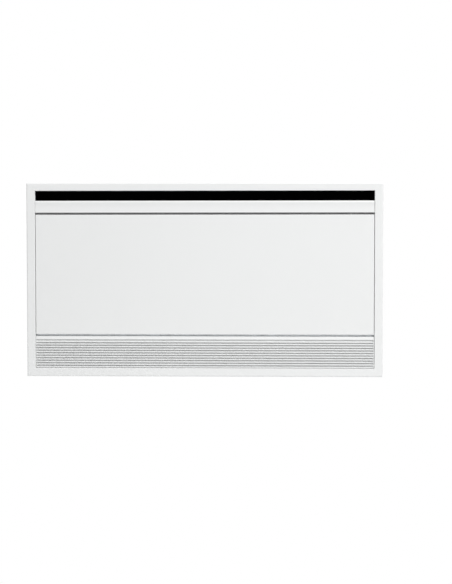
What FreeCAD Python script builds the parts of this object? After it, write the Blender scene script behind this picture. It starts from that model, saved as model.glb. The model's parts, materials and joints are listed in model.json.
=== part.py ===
# Recessed fan coil unit: a steel box let into the wall, a slim water-fed fan coil inside it,
# and a white trim frame with an outlet flap, a pull-off panel and a hinged intake grille.
# X runs along the wall, Y into the wall and Z up, in millimetres. The origin is the middle of
# the four wall fixings, on the outer face of the box's back.
import FreeCAD, Part
import os
import re
import math
import Sketcher
from FreeCAD import Placement, Rotation, Vector

# Driving dimensions
SIZES = {
    # recess box
    "box_width": 1318, "box_height": 700, "box_depth": 142, "box_sheet": 1.2, "box_lip": 12,
    "fixing_inset_x": 41.5, "fixing_inset_z": 140, "fixing_hole": 9,
    "swage_end": 99, "swage_width": 22, "swage_depth": 3, "swage_inset": 78,
    "window_depth": 96, "window_height": 290, "window_set_back": 20, "window_drop": 24,
    # trim frame round the opening
    "side_lap": 27, "end_lap": 22.5, "frame_proud": 12, "frame_sheet": 1.5, "frame_return": 18,
    "frame_side": 32.5, "frame_top": 29, "frame_foot": 33, "frame_round": 4, "opening_round": 1.9,
    "clip_height": 40,
    # what fills the opening, from the top down
    "slot_height": 38, "flap_height": 46, "shadow_gap": 8, "seam_gap": 7.2, "grille_height": 120.6,
    "grille_clear": 1.8, "panel_side_gap": 1.7, "flap_side_gap": 0.6, "face_recess": 1,
    # outlet flap
    "flap_blade": 3, "flap_lean": -2, "flap_pivot_rise": 6, "flap_pivot_set": 6.5, "flap_bead": 4.5,
    "flap_lip": 7, "flap_sweep": 2, "pivot_radius": 2.5, "pivot_clear": 0.08, "pin_fit": 0.02,
    "pin_hold": 20, "bush_wall": 2, "bush_flange": 0.5,
    # front panel and what holds it
    "panel_sheet": 1.2, "panel_return": 14, "panel_round": 2.5, "stiffener_width": 60, "stiffener_rise": 8,
    "stiffener_span": 345, "foam_thick": 6, "upper_rail_height": 27, "lower_rail_height": 46,
    "rail_depth": 8, "rail_sheet": 1.5, "rail_clear": 2,
    "stud_end": 109, "stud_radius": 3, "stud_ball": 4, "stud_clear": 0.15, "stud_flange": 6.5,
    "stud_inset": 10, "stud_lift": 33, "clip_wall": 2.2, "clip_length": 11, "clip_flange": 1.2,
    # intake grille and filter
    "louvre_count": 11, "louvre_sheet": 1.8, "louvre_slope": 52, "grille_depth": 15, "top_bar": 12,
    "bar_dish": 2, "bar_gap": 1.5, "end_cap": 2.5, "cap_set": 2, "rib_sheet": 2.5, "rib_depth": 5,
    "grille_pivot_rise": 10, "grille_pivot_set": 5.5, "magnet_span": 760, "magnet_length": 24,
    "magnet_height": 9, "magnet_gap": 0.3, "striker_sheet": 1, "striker_length": 34,
    "filter_thick": 6, "filter_border": 9, "filter_mesh_thick": 0.8, "filter_rib_count": 7,
    # chassis
    "pipe_room": 127.8, "control_room": 187.8, "chassis_sheet": 1.5, "chassis_depth": 120,
    "chassis_lift": 21.1,
    "pad_thick": 4, "pad_width": 22, "pad_height": 46, "pad_inset": 60, "bolt_radius": 3, "bolt_head": 5.5,
    # outlet plenum
    "plenum_height": 118.8, "plenum_gap": 2, "plenum_end_gap": 1.5, "plenum_sheet": 1.2, "plenum_round": 46,
    "plenum_back": 9, "mouth_back": 128, "mouth_lip": 6, "throat_width": 88,
    # fan
    "fan_radius": 42, "fan_gap": 5, "fan_set": 68, "fan_drop": 96, "blade_count": 22, "blade_chord": 12,
    "blade_curve": 16, "blade_thick": 1.3, "disc_thick": 2, "disc_count": 5, "fan_end_gap": 8,
    "shaft_radius": 4, "shaft_clear": 0.05, "hub_radius": 12, "hub_length": 14,
    "bearing_radius": 11, "bearing_width": 7, "ring_radius": 17, "ring_groove": 2.5,
    "motor_radius": 40, "motor_length": 48, "motor_stand": 12, "motor_hole": 26, "lug_circle": 48,
    "lug_radius": 9,
    "lug_thick": 5, "scroll_back": 12, "scroll_rise": 58,
    # coil and water connections
    "coil_tilt": 15, "coil_depth": 44, "coil_set": 68, "coil_room": 222, "tube_pitch": 25, "tube_rows": 22,
    "coil_edge": 12, "tube_radius": 4.75, "fin_pitch": 12.5, "fin_slot": 9.5, "fin_core": 8,
    "sheet_margin": 4, "header_radius": 10, "header_length": 48, "header_set": 30,
    "union_radius": 13.2, "union_thread": 15,
    "union_bore": 9.5, "union_nut": 17, "union_nut_length": 12, "pipe_length": 14, "pipe_radius": 9.2,
    "vent_radius": 5, "vent_height": 16, "knob_radius": 7.5, "knob_height": 7,
    # condensate tray
    "tray_width": 74, "tray_height": 25, "tray_sheet": 2, "tray_back": 6, "tray_left": 70, "tray_right": 15,
    "tray_lift": 18.2, "notch_clear": 1, "notch_front": 4, "spigot_radius": 8, "spigot_bore": 6,
    "spigot_length": 26, "bracket_sheet": 1.5,
    "bracket_width": 30, "bracket_span": 400, "bracket_drop": 26,
    # controls
    "control_end_gap": 19.8, "control_width": 138, "control_gap": 29, "control_depth": 56, "control_foot": 42,
    "control_wall": 2, "cover_skirt": 12, "cover_clear": 0.2, "board_thick": 1.6, "board_gap": 4,
    "board_post": 12, "grommet_radius": 12, "grommet_bore": 8, "grommet_rise": 54,
    "grommet_set": 84, "grommet_flange": 3,
    "lead_radius": 3.2, "lead_clear": 0.1, "lead_set": 36, "lead_tail": 8,
}

# Sizes that follow from the driving ones
DERIVED = {
    "fixing_span_x": "box_width - 2 * fixing_inset_x",
    "fixing_span_z": "box_height - 2 * fixing_inset_z",
    "swage_length": "box_width - 2 * swage_end",
    "stud_span": "box_width - 2 * stud_end",
    "plate_left": "box_width / 2 - box_sheet - pipe_room",
    "plate_right": "box_width / 2 - box_sheet - control_room",
    "control_left": "box_width / 2 - box_sheet - control_end_gap - control_width",
}

doc = FreeCAD.newDocument("RecessedFanCoil")
sheet = doc.addObject("Spreadsheet::Sheet", "Sizes")
rows = {**SIZES, **{alias: f"={formula}" for alias, formula in DERIVED.items()}}
for row, (alias, size) in enumerate(rows.items(), 1):
    sheet.set(f"A{row}", alias)
    sheet.set(f"B{row}", str(size))
    sheet.setAlias(f"B{row}", alias)
doc.recompute()


# Expressions and drawing helpers

def cells(text):
    """The text with every size's name pointing at its cell."""
    return re.sub(r"[a-z_]+", lambda m: f"Sizes.{m[0]}" if m[0] in rows else m[0], str(text))


def value(text):
    """What an expression of sizes comes to."""
    return float(sheet.evalExpression(cells(text)))


def bind(thing, prop, text):
    thing.setExpression(prop, cells(text))


def new_body(label):
    body = doc.addObject("PartDesign::Body", label)
    body.Label = label
    return body


def origin_part(body, role):
    return next(f for f in body.Origin.OriginFeatures if f.Role == role)


def rect(x0, x1, y0, y1):
    return [(x0, y0), (x1, y0), (x1, y1), (x0, y1)]


def circle(x, y, radius):
    return ("circle", x, y, radius)


def arc(radius, turn):
    """An arc between the corners before and after it: turn is left or right along the outline."""
    return ("arc", radius, turn)


def sketch(body, plane, loops, offset="0"):
    """A sketch on an origin plane, moved along its normal, with every corner tied to the sizes."""
    made = body.newObject("Sketcher::SketchObject", "Outline")
    made.AttachmentSupport = (origin_part(body, plane), [""])
    made.MapMode = "FlatFace"
    bind(made, "AttachmentOffset.Base.z", offset)
    for loop in loops:
        if loop[0] == "circle":
            draw_circle(made, *loop[1:])
        else:
            draw_loop(made, loop)
    return made


def tie(made, kind, place, text):
    """A constraint that holds one coordinate, or a radius, to an expression."""
    size = value(text)
    if kind == "Radius":
        number = made.addConstraint(Sketcher.Constraint(kind, place, size))
    else:
        number = made.addConstraint(Sketcher.Constraint(kind, -1, 1, place[0], place[1], size))
    bind(made, f"Constraints[{number}]", text)


def draw_circle(made, x, y, radius):
    round_edge = Part.Circle(Vector(value(x), value(y), 0), Vector(0, 0, 1), value(radius))
    edge = made.addGeometry(round_edge, False)
    tie(made, "DistanceX", (edge, 3), x)
    tie(made, "DistanceY", (edge, 3), y)
    tie(made, "Radius", edge, radius)


def arc_edge(start, end, radius, turn):
    """The minor arc between two points, and which of its ends the outline meets first."""
    along = end - start
    middle = (start + end) * 0.5
    reach = math.sqrt(max(radius ** 2 - (along.Length / 2) ** 2, 0))
    left = Vector(-along.y, along.x, 0).normalize()
    centre = middle + left * (reach if turn == "left" else -reach)
    first, last = (start, end) if turn == "left" else (end, start)
    angles = [math.atan2(p.y - centre.y, p.x - centre.x) for p in (first, last)]
    made = Part.ArcOfCircle(Part.Circle(centre, Vector(0, 0, 1), radius), *angles)
    return made, (1, 2) if turn == "left" else (2, 1)


def draw_loop(made, loop):
    corners = []
    bends = {}
    for item in loop:
        if item[0] == "arc":
            bends[len(corners) - 1] = item
        else:
            corners.append(item)
    points = [Vector(value(x), value(y), 0) for x, y in corners]
    edges = []
    for i, start in enumerate(points):
        end = points[(i + 1) % len(points)]
        if i in bends:
            shape, ends = arc_edge(start, end, value(bends[i][1]), bends[i][2])
        else:
            shape, ends = Part.LineSegment(start, end), (1, 2)
        edges.append((made.addGeometry(shape, False), *ends))
    for i, (edge, first, last) in enumerate(edges):
        following = edges[(i + 1) % len(edges)]
        made.addConstraint(Sketcher.Constraint("Coincident", edge, last, following[0], following[1]))
        tie(made, "DistanceX", (edge, first), corners[i][0])
        tie(made, "DistanceY", (edge, first), corners[i][1])
        if i in bends:
            tie(made, "Radius", edge, bends[i][1])


def feature(body, kind, profile, length, both=False, back=False):
    made = body.newObject(f"PartDesign::{kind}", kind)
    made.Profile = profile
    bind(made, "Length", length)
    made.SideType = "Symmetric" if both else "One side"
    made.Reversed = back
    body.Tip = made
    doc.recompute()
    return made


def pad(body, plane, loops, length, offset="0", both=False, back=False):
    return feature(body, "Pad", sketch(body, plane, loops, offset), length, both, back)


def pocket(body, plane, loops, length, offset="0", both=False, back=False):
    before = body.Shape.Volume
    made = feature(body, "Pocket", sketch(body, plane, loops, offset), length, both, back)
    if not made.Shape.Volume < before:
        raise RuntimeError(f"a cut in {body.Label} removed nothing")
    return made


def repeat(body, features, axis, length, count, back=False):
    """A row of copies: length is from the first copy to the last."""
    made = body.newObject("PartDesign::LinearPattern", "Row")
    made.Originals = features
    made.Direction = (origin_part(body, axis), [""])
    made.Reversed = back
    bind(made, "Length", length)
    bind(made, "Occurrences", count)
    body.Tip = made
    doc.recompute()
    return made


def turn_copies(body, features, axis, count):
    made = body.newObject("PartDesign::PolarPattern", "Ring")
    made.Originals = features
    made.Axis = (origin_part(body, axis), [""])
    bind(made, "Occurrences", count)
    body.Tip = made
    doc.recompute()
    return made


def revolve(body, plane, loops, axis, angle="360"):
    made = body.newObject("PartDesign::Revolution", "Revolution")
    made.Profile = sketch(body, plane, loops)
    made.ReferenceAxis = (origin_part(body, axis), [""])
    bind(made, "Angle", angle)
    body.Tip = made
    doc.recompute()
    return made


def fillet(body, chosen, radius):
    """Rounds the edges of the body that the test chosen picks."""
    base = body.Tip
    names = [f"Edge{i}" for i, edge in enumerate(base.Shape.Edges, 1) if chosen(edge)]
    made = body.newObject("PartDesign::Fillet", "Fillet")
    made.Base = (base, names)
    bind(made, "Radius", radius)
    body.Tip = made
    doc.recompute()
    return made


def lies_at(edge, axis, text):
    """Whether both ends of an edge are at one coordinate."""
    place = value(text)
    return all(abs(getattr(v.Point, axis) - place) < 1e-4 for v in edge.Vertexes)


def block(x0, x1, y0, y1, z0, z1, name="Block"):
    made = doc.addObject("Part::Box", name)
    for prop, low, high in (("Length", x0, x1), ("Width", y0, y1), ("Height", z0, z1)):
        bind(made, prop, f"({high}) - ({low})")
    for axis, low in zip("xyz", (x0, y0, z0)):
        bind(made, f"Placement.Base.{axis}", low)
    return made


ROD_TURN = {
    "x": Rotation(Vector(0, 1, 0), 90),
    "y": Rotation(Vector(1, 0, 0), -90),
    "z": Rotation(),
}


def rod(axis, x, y, z, radius, length, name="Rod"):
    """A cylinder from a point, along one axis."""
    made = doc.addObject("Part::Cylinder", name)
    made.Placement = Placement(Vector(), ROD_TURN[axis])
    bind(made, "Radius", radius)
    bind(made, "Height", length)
    for key, place in zip("xyz", (x, y, z)):
        bind(made, f"Placement.Base.{key}", place)
    return made


def fuse(parts, label="Fused"):
    made = doc.addObject("Part::MultiFuse", label)
    made.Shapes = parts
    made.Label = label
    return made


def cut(base, tool, label="Cut"):
    made = doc.addObject("Part::Cut", label)
    made.Base = base
    made.Tool = tool
    made.Label = label
    return made


def group(parts, label):
    """Separate solids of one kind, kept as one sub-part."""
    made = doc.addObject("Part::Compound", label)
    made.Links = parts
    made.Label = label
    return made


def tube(axis, x, y, z, radius, bore, length, label="Tube"):
    return cut(rod(axis, x, y, z, radius, length), rod(axis, x, y, z, bore, length), label)


# Planes and places that several pieces share
BOX_X = "(box_width / 2)"
BOX_Z = "(box_height / 2)"
INSIDE_X = "(box_width / 2 - box_sheet)"
INSIDE_Z = "(box_height / 2 - box_sheet)"
FACE = "(box_depth + frame_proud)"
FRAME_X = "(box_width / 2 + side_lap)"
FRAME_Z = "(box_height / 2 + end_lap)"
OPEN_X = f"({FRAME_X} - frame_side)"
OPEN_TOP = f"({FRAME_Z} - frame_top)"
OPEN_FOOT = f"(frame_foot - {FRAME_Z})"
FLAP_TOP = f"({OPEN_TOP} - slot_height)"
FLAP_FOOT = f"({FLAP_TOP} - flap_height)"
PANEL_TOP = f"({FLAP_FOOT} - shadow_gap)"
GRILLE_FOOT = f"({OPEN_FOOT} + grille_clear)"
GRILLE_TOP = f"({GRILLE_FOOT} + grille_height)"
PANEL_FOOT = f"({GRILLE_TOP} + seam_gap)"
FRONT = f"({FACE} - face_recess)"
RAIL_FRONT = f"({FACE} - frame_return - rail_clear)"
CHASSIS_BACK = "(box_sheet + pad_thick)"
CHASSIS_FRONT = f"({CHASSIS_BACK} + chassis_depth)"
CHASSIS_TOP = f"({INSIDE_Z} - plenum_gap - plenum_height)"
CHASSIS_FOOT = f"({GRILLE_TOP} + chassis_lift)"
FAN_Z = f"({CHASSIS_TOP} - fan_drop)"
TUBE_PAIRS = f"floor(({CHASSIS_TOP} - {CHASSIS_FOOT} - coil_room) / (2 * tube_pitch))"
COIL_HALF = f"(tube_pitch * {TUBE_PAIRS} + coil_edge)"
TRAY_TOP = f"({CHASSIS_FOOT} + tray_lift)"
COIL_Z = (f"({TRAY_TOP} + notch_clear + ({COIL_HALF} + sheet_margin) * cos(coil_tilt * 1 deg)"
          " + (coil_depth / 2 + sheet_margin) * sin(coil_tilt * 1 deg))")
SIDES = (-1, 1)


# Recess box

def make_box_back():
    """The back sheet, stiffened by two long swages, with the wall fixing holes."""
    body = new_body("box_back")
    pad(body, "XZ_Plane", [rect(f"-{INSIDE_X}", INSIDE_X, f"-{INSIDE_Z}", INSIDE_Z)], "box_sheet")

    def bands(margin):
        middles = [f"({side} * ({BOX_Z} - swage_inset))" for side in SIDES]
        return [rect(f"-swage_length / 2 - {margin}", f"swage_length / 2 + {margin}",
                     f"{z} - swage_width / 2 - {margin}",
                     f"{z} + swage_width / 2 + {margin}") for z in middles]

    pad(body, "XZ_Plane", bands("box_sheet"), "swage_depth + box_sheet")
    pocket(body, "XZ_Plane", bands("0"), "swage_depth", back=True)
    holes = [circle(f"{i} * fixing_span_x / 2", f"{k} * fixing_span_z / 2", "fixing_hole / 2")
             for i in SIDES for k in SIDES]
    pocket(body, "XZ_Plane", holes, "2 * box_sheet", back=True)
    return body


def make_box_side(name, side):
    """A side sheet with the lip that the plaster runs up to."""
    body = new_body(name)
    wall = rect("-box_depth", "0", f"-{BOX_Z}", BOX_Z)
    pad(body, "YZ_Plane", [wall], "box_sheet", offset=f"{side} * {INSIDE_X}", back=side < 0)
    low, high = sorted((f"{side} * {INSIDE_X}", f"{side} * ({BOX_X} + box_lip)"), key=value)
    pad(body, "XZ_Plane", [rect(low, high, f"-{BOX_Z}", BOX_Z)], "box_sheet", offset="box_depth", back=True)
    if side < 0:
        hole = rect("-window_set_back - window_depth", "-window_set_back",
                    f"{CHASSIS_FOOT} - window_drop", f"{CHASSIS_FOOT} - window_drop + window_height")
    else:
        hole = circle("-grommet_set", "-grommet_rise", "grommet_radius")
    pocket(body, "YZ_Plane", [hole], "2 * box_sheet", offset=f"{side} * {BOX_X}", back=side < 0)
    return body


def make_box_end(name, side):
    """The top or foot sheet, between the side sheets, with its lip."""
    body = new_body(name)
    wall = rect(f"-{INSIDE_X}", INSIDE_X, "-box_depth", "0")
    pad(body, "XY_Plane", [wall], "box_sheet", offset=f"{side} * {INSIDE_Z}", back=side < 0)
    reach = f"({BOX_X} + box_lip)"
    inner, edge, outer = (f"{side} * {z}" for z in (INSIDE_Z, BOX_Z, f"({BOX_Z} + box_lip)"))
    lip = [(f"-{reach}", edge), (f"-{INSIDE_X}", edge), (f"-{INSIDE_X}", inner), (INSIDE_X, inner),
           (INSIDE_X, edge), (reach, edge), (reach, outer), (f"-{reach}", outer)]
    pad(body, "XZ_Plane", [lip], "box_sheet", offset="box_depth", back=True)
    return body


# Trim frame

PIVOTS = {
    "flap": (f"(-{FRONT} + flap_pivot_set)", f"({FLAP_FOOT} + flap_pivot_rise)"),
    "grille": (f"(-{FRONT} + grille_pivot_set)", f"({GRILLE_FOOT} + grille_pivot_rise)"),
}
BUSH_RADIUS = "(pivot_radius + pivot_clear + bush_wall)"


def on_rim(edge, inset):
    """Whether an edge runs along the frame's outer rectangle, or that rectangle moved inwards."""
    return any(lies_at(edge, "x", f"{side} * ({FRAME_X} - {inset})")
               or lies_at(edge, "z", f"{side} * ({FRAME_Z} - {inset})") for side in SIDES)


def make_front_frame():
    """A folded ring: a flat face, an outer return to the wall and an inner return into the opening."""
    body = new_body("front_frame")
    outer = rect(f"-{FRAME_X}", FRAME_X, f"-{FRAME_Z}", FRAME_Z)
    outer_inside = rect(f"-({FRAME_X} - frame_sheet)", f"{FRAME_X} - frame_sheet",
                        f"-({FRAME_Z} - frame_sheet)", f"{FRAME_Z} - frame_sheet")
    opening = rect(f"-{OPEN_X}", OPEN_X, OPEN_FOOT, OPEN_TOP)
    opening_outside = rect(f"-({OPEN_X} + frame_sheet)", f"{OPEN_X} + frame_sheet",
                           f"{OPEN_FOOT} - frame_sheet", f"{OPEN_TOP} + frame_sheet")
    pad(body, "XZ_Plane", [outer, opening], "frame_sheet", offset=FACE, back=True)
    pad(body, "XZ_Plane", [outer, outer_inside], "frame_proud", offset=FACE, back=True)
    pad(body, "XZ_Plane", [opening_outside, opening], "frame_return", offset=FACE, back=True)
    reach = f"2 * ({OPEN_X} + frame_sheet * 1.5)"
    pocket(body, "YZ_Plane", [circle(*PIVOTS[name], BUSH_RADIUS) for name in PIVOTS], reach, both=True)
    inner_bend = f"-({FACE} - frame_sheet)"
    fillet(body, lambda edge: lies_at(edge, "y", inner_bend) and on_rim(edge, "frame_sheet"),
           "max(frame_round - frame_sheet; 0.2)")
    fillet(body, lambda edge: lies_at(edge, "y", f"-{FACE}") and on_rim(edge, "0"), "frame_round")
    fillet(body, lambda edge: lies_at(edge, "y", f"-{FACE}"), "min(opening_round; frame_sheet * 1.3)")
    return body


def make_frame_clips():
    """Spring clips between the frame's inner return and the walls of the box."""
    clips = []
    for side in SIDES:
        near, far = sorted((f"{side} * ({OPEN_X} + frame_sheet)", f"{side} * {INSIDE_X}"), key=value)
        for level in (-0.62, 0, 0.62):
            middle = f"({level} * {BOX_Z})"
            clips.append(block(near, far, f"-{FACE} + frame_return / 3", f"-{FACE} + frame_return",
                               f"{middle} - clip_height / 2", f"{middle} + clip_height / 2"))
    return group(clips, "frame_clips")


def make_bushes(name):
    """Flanged bushes in the frame's inner returns, one at each end of a pivot."""
    y, z = PIVOTS[name]
    bushes = []
    for side in SIDES:
        inner = f"({OPEN_X} - bush_flange)"
        length = "(bush_flange + frame_sheet * 1.5)"
        start = inner if side > 0 else f"(-{inner} - {length})"
        flange = inner if side > 0 else f"(-{OPEN_X})"
        whole = fuse([rod("x", start, y, z, BUSH_RADIUS, length),
                      rod("x", flange, y, z, f"{BUSH_RADIUS} + 1", "bush_flange")])
        bushes.append(cut(whole, rod("x", start, y, z, "pivot_radius + pivot_clear", length)))
    return group(bushes, f"{name}_bushes")


def make_pivot_pins(name, inner_end):
    """The pins on which a flap or grille swings: they run from its end into the bushes."""
    y, z = PIVOTS[name]
    length = f"({OPEN_X} + frame_sheet - ({inner_end}))"
    starts = {-1: f"(-({inner_end}) - {length})", 1: inner_end}
    pins = [rod("x", starts[side], y, z, "pivot_radius", length) for side in SIDES]
    return group(pins, f"{name}_pins")


# Outlet flap

FLAP_END = f"({OPEN_X} - bush_flange - flap_side_gap)"


def make_outlet_flap():
    """An extruded blade: a pivot bead at its foot, a hollow face, and a lip curled back into the slot."""
    body = new_body("outlet_flap")
    sine, cosine = "sin(flap_lean * 1 deg)", "cos(flap_lean * 1 deg)"
    top = f"((flap_height - flap_pivot_rise + (flap_pivot_set + flap_sweep) * {sine}) / {cosine})"
    foot = f"((flap_pivot_set * {sine} - flap_pivot_rise) / {cosine})"
    face = "(-flap_pivot_set)"
    nose = f"({face} - flap_sweep)"
    bend = f"({top} * 0.3)"
    hollow = f"((({top} - flap_lip - {bend})^2 + flap_sweep^2) / (2 * flap_sweep))"
    profile = [
        (face, foot),
        (f"{face} + flap_blade", foot),
        (f"{face} + flap_blade", bend),
        arc(hollow, "left"),
        (f"{nose} + flap_blade", f"{top} - flap_lip"),
        arc("flap_lip - flap_blade", "right"),
        (f"{nose} + flap_lip", f"{top} - flap_blade"),
        (f"{nose} + flap_lip", top),
        arc("flap_lip", "left"),
        (nose, f"{top} - flap_lip"),
        arc(hollow, "right"),
        (face, bend),
    ]
    pad(body, "YZ_Plane", [profile], f"2 * {FLAP_END}", both=True)
    pad(body, "YZ_Plane", [circle("0", "0", "flap_bead")], f"2 * {FLAP_END}", both=True)
    web = rect(f"{face} + flap_blade / 2", "0", "-flap_bead * 0.8", "flap_bead * 0.8")
    pad(body, "YZ_Plane", [web], f"2 * {FLAP_END}", both=True)
    pocket(body, "YZ_Plane", [circle("0", "0", "pivot_radius + pin_fit")], f"2 * {FLAP_END}", both=True)
    body.Placement = Placement(Vector(), Rotation(Vector(1, 0, 0), value("flap_lean")))
    bind(body, "Placement.Base.y", PIVOTS["flap"][0])
    bind(body, "Placement.Base.z", PIVOTS["flap"][1])
    bind(body, "Placement.Rotation.Angle", "flap_lean")
    return body


# Front panel, its rails and clips

PANEL_X = f"({OPEN_X} - panel_side_gap)"
PANEL_BACK = f"({FRONT} - panel_sheet)"
RAILS = {
    "upper_rail": (f"({FLAP_FOOT} - rail_sheet - upper_rail_height)", "upper_rail_height"),
    "lower_rail": (f"({GRILLE_TOP} - top_bar + rail_sheet)", "lower_rail_height"),
}
RAIL_STUDS = {
    "upper_rail": [(f"({side} * stud_span / 2)", f"({PANEL_TOP} - stud_inset)") for side in SIDES],
    "lower_rail": [(f"({side} * stud_span / 2)",
                    f"({RAILS['lower_rail'][0]} + stud_lift)") for side in SIDES],
}
STUDS = RAIL_STUDS["upper_rail"] + RAIL_STUDS["lower_rail"]
STUD_HOLE = "(stud_ball + stud_clear + clip_wall)"


def make_front_panel():
    """A flat steel tray with rounded edges."""
    body = new_body("front_panel")
    face = rect(f"-{PANEL_X}", PANEL_X, PANEL_FOOT, PANEL_TOP)
    inside = rect(f"-({PANEL_X} - panel_sheet)", f"{PANEL_X} - panel_sheet",
                  f"{PANEL_FOOT} + panel_sheet", f"{PANEL_TOP} - panel_sheet")
    pad(body, "XZ_Plane", [face], "panel_return", offset=FRONT, back=True)
    fillet(body, lambda edge: lies_at(edge, "y", f"-{FRONT}"), "min(panel_round; panel_sheet * 2.2)")
    pocket(body, "XZ_Plane", [inside], "panel_return - panel_sheet", offset=f"{FRONT} - panel_return",
           back=True)
    return body


def make_panel_stiffeners():
    """Hat channels behind the panel, from its foot to its top."""
    body = new_body("panel_stiffeners")
    brim = "(stiffener_width * 0.25)"
    half = "(stiffener_width / 2)"
    hat = [
        (f"-{half}", f"-{PANEL_BACK}"), (half, f"-{PANEL_BACK}"),
        (half, f"-{PANEL_BACK} + panel_sheet"),
        (f"{half} - {brim} + panel_sheet", f"-{PANEL_BACK} + panel_sheet"),
        (f"{half} - {brim} + panel_sheet", f"-{PANEL_BACK} + stiffener_rise"),
        (f"-{half} + {brim} - panel_sheet", f"-{PANEL_BACK} + stiffener_rise"),
        (f"-{half} + {brim} - panel_sheet", f"-{PANEL_BACK} + panel_sheet"),
        (f"-{half}", f"-{PANEL_BACK} + panel_sheet"),
    ]
    hollow = rect(f"-{half} + {brim}", f"{half} - {brim}", f"-{PANEL_BACK}",
                  f"-{PANEL_BACK} + stiffener_rise - panel_sheet")
    foot = f"({PANEL_FOOT} + panel_sheet * 2)"
    length = f"({PANEL_TOP} - panel_sheet * 2 - {foot})"
    moved = [[(f"{x} + {side} * stiffener_span", y) for x, y in hat] for side in (-1, 0, 1)]
    cores = [[(f"{x} + {side} * stiffener_span", y) for x, y in hollow] for side in (-1, 0, 1)]
    pad(body, "XY_Plane", moved, length, offset=foot)
    pocket(body, "XY_Plane", cores, length, offset=foot, back=True)
    return body


def make_panel_insulation():
    """Foam sheets glued behind the panel, between the stiffeners."""
    edge = "(stiffener_width / 2 + panel_sheet * 2)"
    column = "(stiffener_span)"
    foot, top = f"{PANEL_FOOT} + panel_sheet * 4", f"{PANEL_TOP} - panel_sheet * 4"
    spans = [(f"-{PANEL_X} + panel_sheet * 4", f"-{column} - {edge}"), (f"-{column} + {edge}", f"-{edge}"),
             (edge, f"{column} - {edge}"), (f"{column} + {edge}", f"{PANEL_X} - panel_sheet * 4")]
    sheets = []
    for low, high in spans:
        foam = block(low, high, f"-{PANEL_BACK}", f"-{PANEL_BACK} + foam_thick", foot, top)
        for x, z in STUDS:
            if value(low) < value(x) < value(high):
                foam = cut(foam, rod("y", x, f"-{PANEL_BACK}", z, "stud_flange * 1.6", "foam_thick"))
        sheets.append(foam)
    return group(sheets, "panel_insulation")


def make_panel_studs():
    """Ball studs on the panel's back that snap into the clips on the rails."""
    studs = []
    reach = f"({PANEL_BACK} - {RAIL_FRONT} + stud_ball)"
    for x, z in STUDS:
        body = new_body("Stud")
        tip = f"({reach} + stud_ball * 0.8)"
        half = [("0", "0"), ("stud_flange", "0"), ("stud_flange", "1.5"), ("stud_radius", "3.5"),
                ("stud_radius", f"{reach} - stud_ball * 0.66"), arc("stud_ball", "left"),
                ("stud_radius * 0.8", tip), ("0", tip)]
        revolve(body, "XY_Plane", [half], "Y_Axis")
        bind(body, "Placement.Base.x", x)
        bind(body, "Placement.Base.y", f"-{PANEL_BACK}")
        bind(body, "Placement.Base.z", z)
        studs.append(body)
    return group(studs, "panel_studs")


def make_rail(name):
    """A folded channel across the box, with a hole for each clip it carries."""
    body = new_body(name)
    foot, rail_height = RAILS[name]
    front = f"(-{RAIL_FRONT})"
    channel = [(front, foot), (f"{front} + rail_depth", foot),
               (f"{front} + rail_depth", f"{foot} + rail_sheet"),
               (f"{front} + rail_sheet", f"{foot} + rail_sheet"),
               (f"{front} + rail_sheet", f"{foot} + {rail_height} - rail_sheet"),
               (f"{front} + rail_depth", f"{foot} + {rail_height} - rail_sheet"),
               (f"{front} + rail_depth", f"{foot} + {rail_height}"), (front, f"{foot} + {rail_height}")]
    pad(body, "YZ_Plane", [channel], f"2 * {INSIDE_X}", both=True)
    holes = [circle(x, z, STUD_HOLE) for x, z in RAIL_STUDS[name]]
    pocket(body, "XZ_Plane", holes, "2 * rail_sheet", offset=RAIL_FRONT)
    return body


def make_panel_clips():
    """Plastic sockets in the rails that grip the ball studs."""
    clips = []
    for x, z in STUDS:
        body = new_body("Clip")
        bore = "(stud_ball + stud_clear)"
        half = [(bore, "-clip_flange"), (f"{STUD_HOLE} + clip_flange", "-clip_flange"),
                (f"{STUD_HOLE} + clip_flange", "0"), (STUD_HOLE, "0"),
                (STUD_HOLE, "rail_sheet + stud_ball"),
                (f"{bore} + clip_wall * 0.5", "clip_length"), (bore, "clip_length")]
        revolve(body, "XY_Plane", [half], "Y_Axis")
        bind(body, "Placement.Base.x", x)
        bind(body, "Placement.Base.y", f"-{RAIL_FRONT}")
        bind(body, "Placement.Base.z", z)
        clips.append(body)
    return group(clips, "panel_clips")


# Intake grille, magnets and filter

GRILLE_X = PANEL_X
GRILLE_BACK = f"({FRONT} - grille_depth)"
LOUVRE_ROOM = "(grille_height - top_bar - bar_gap)"
FILTER_X = f"({GRILLE_X} - end_cap)"
FILTER_FOOT = f"({GRILLE_FOOT} + grille_pivot_rise)"
FILTER_TOP = f"({RAILS['lower_rail'][0]} - filter_thick)"


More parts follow.
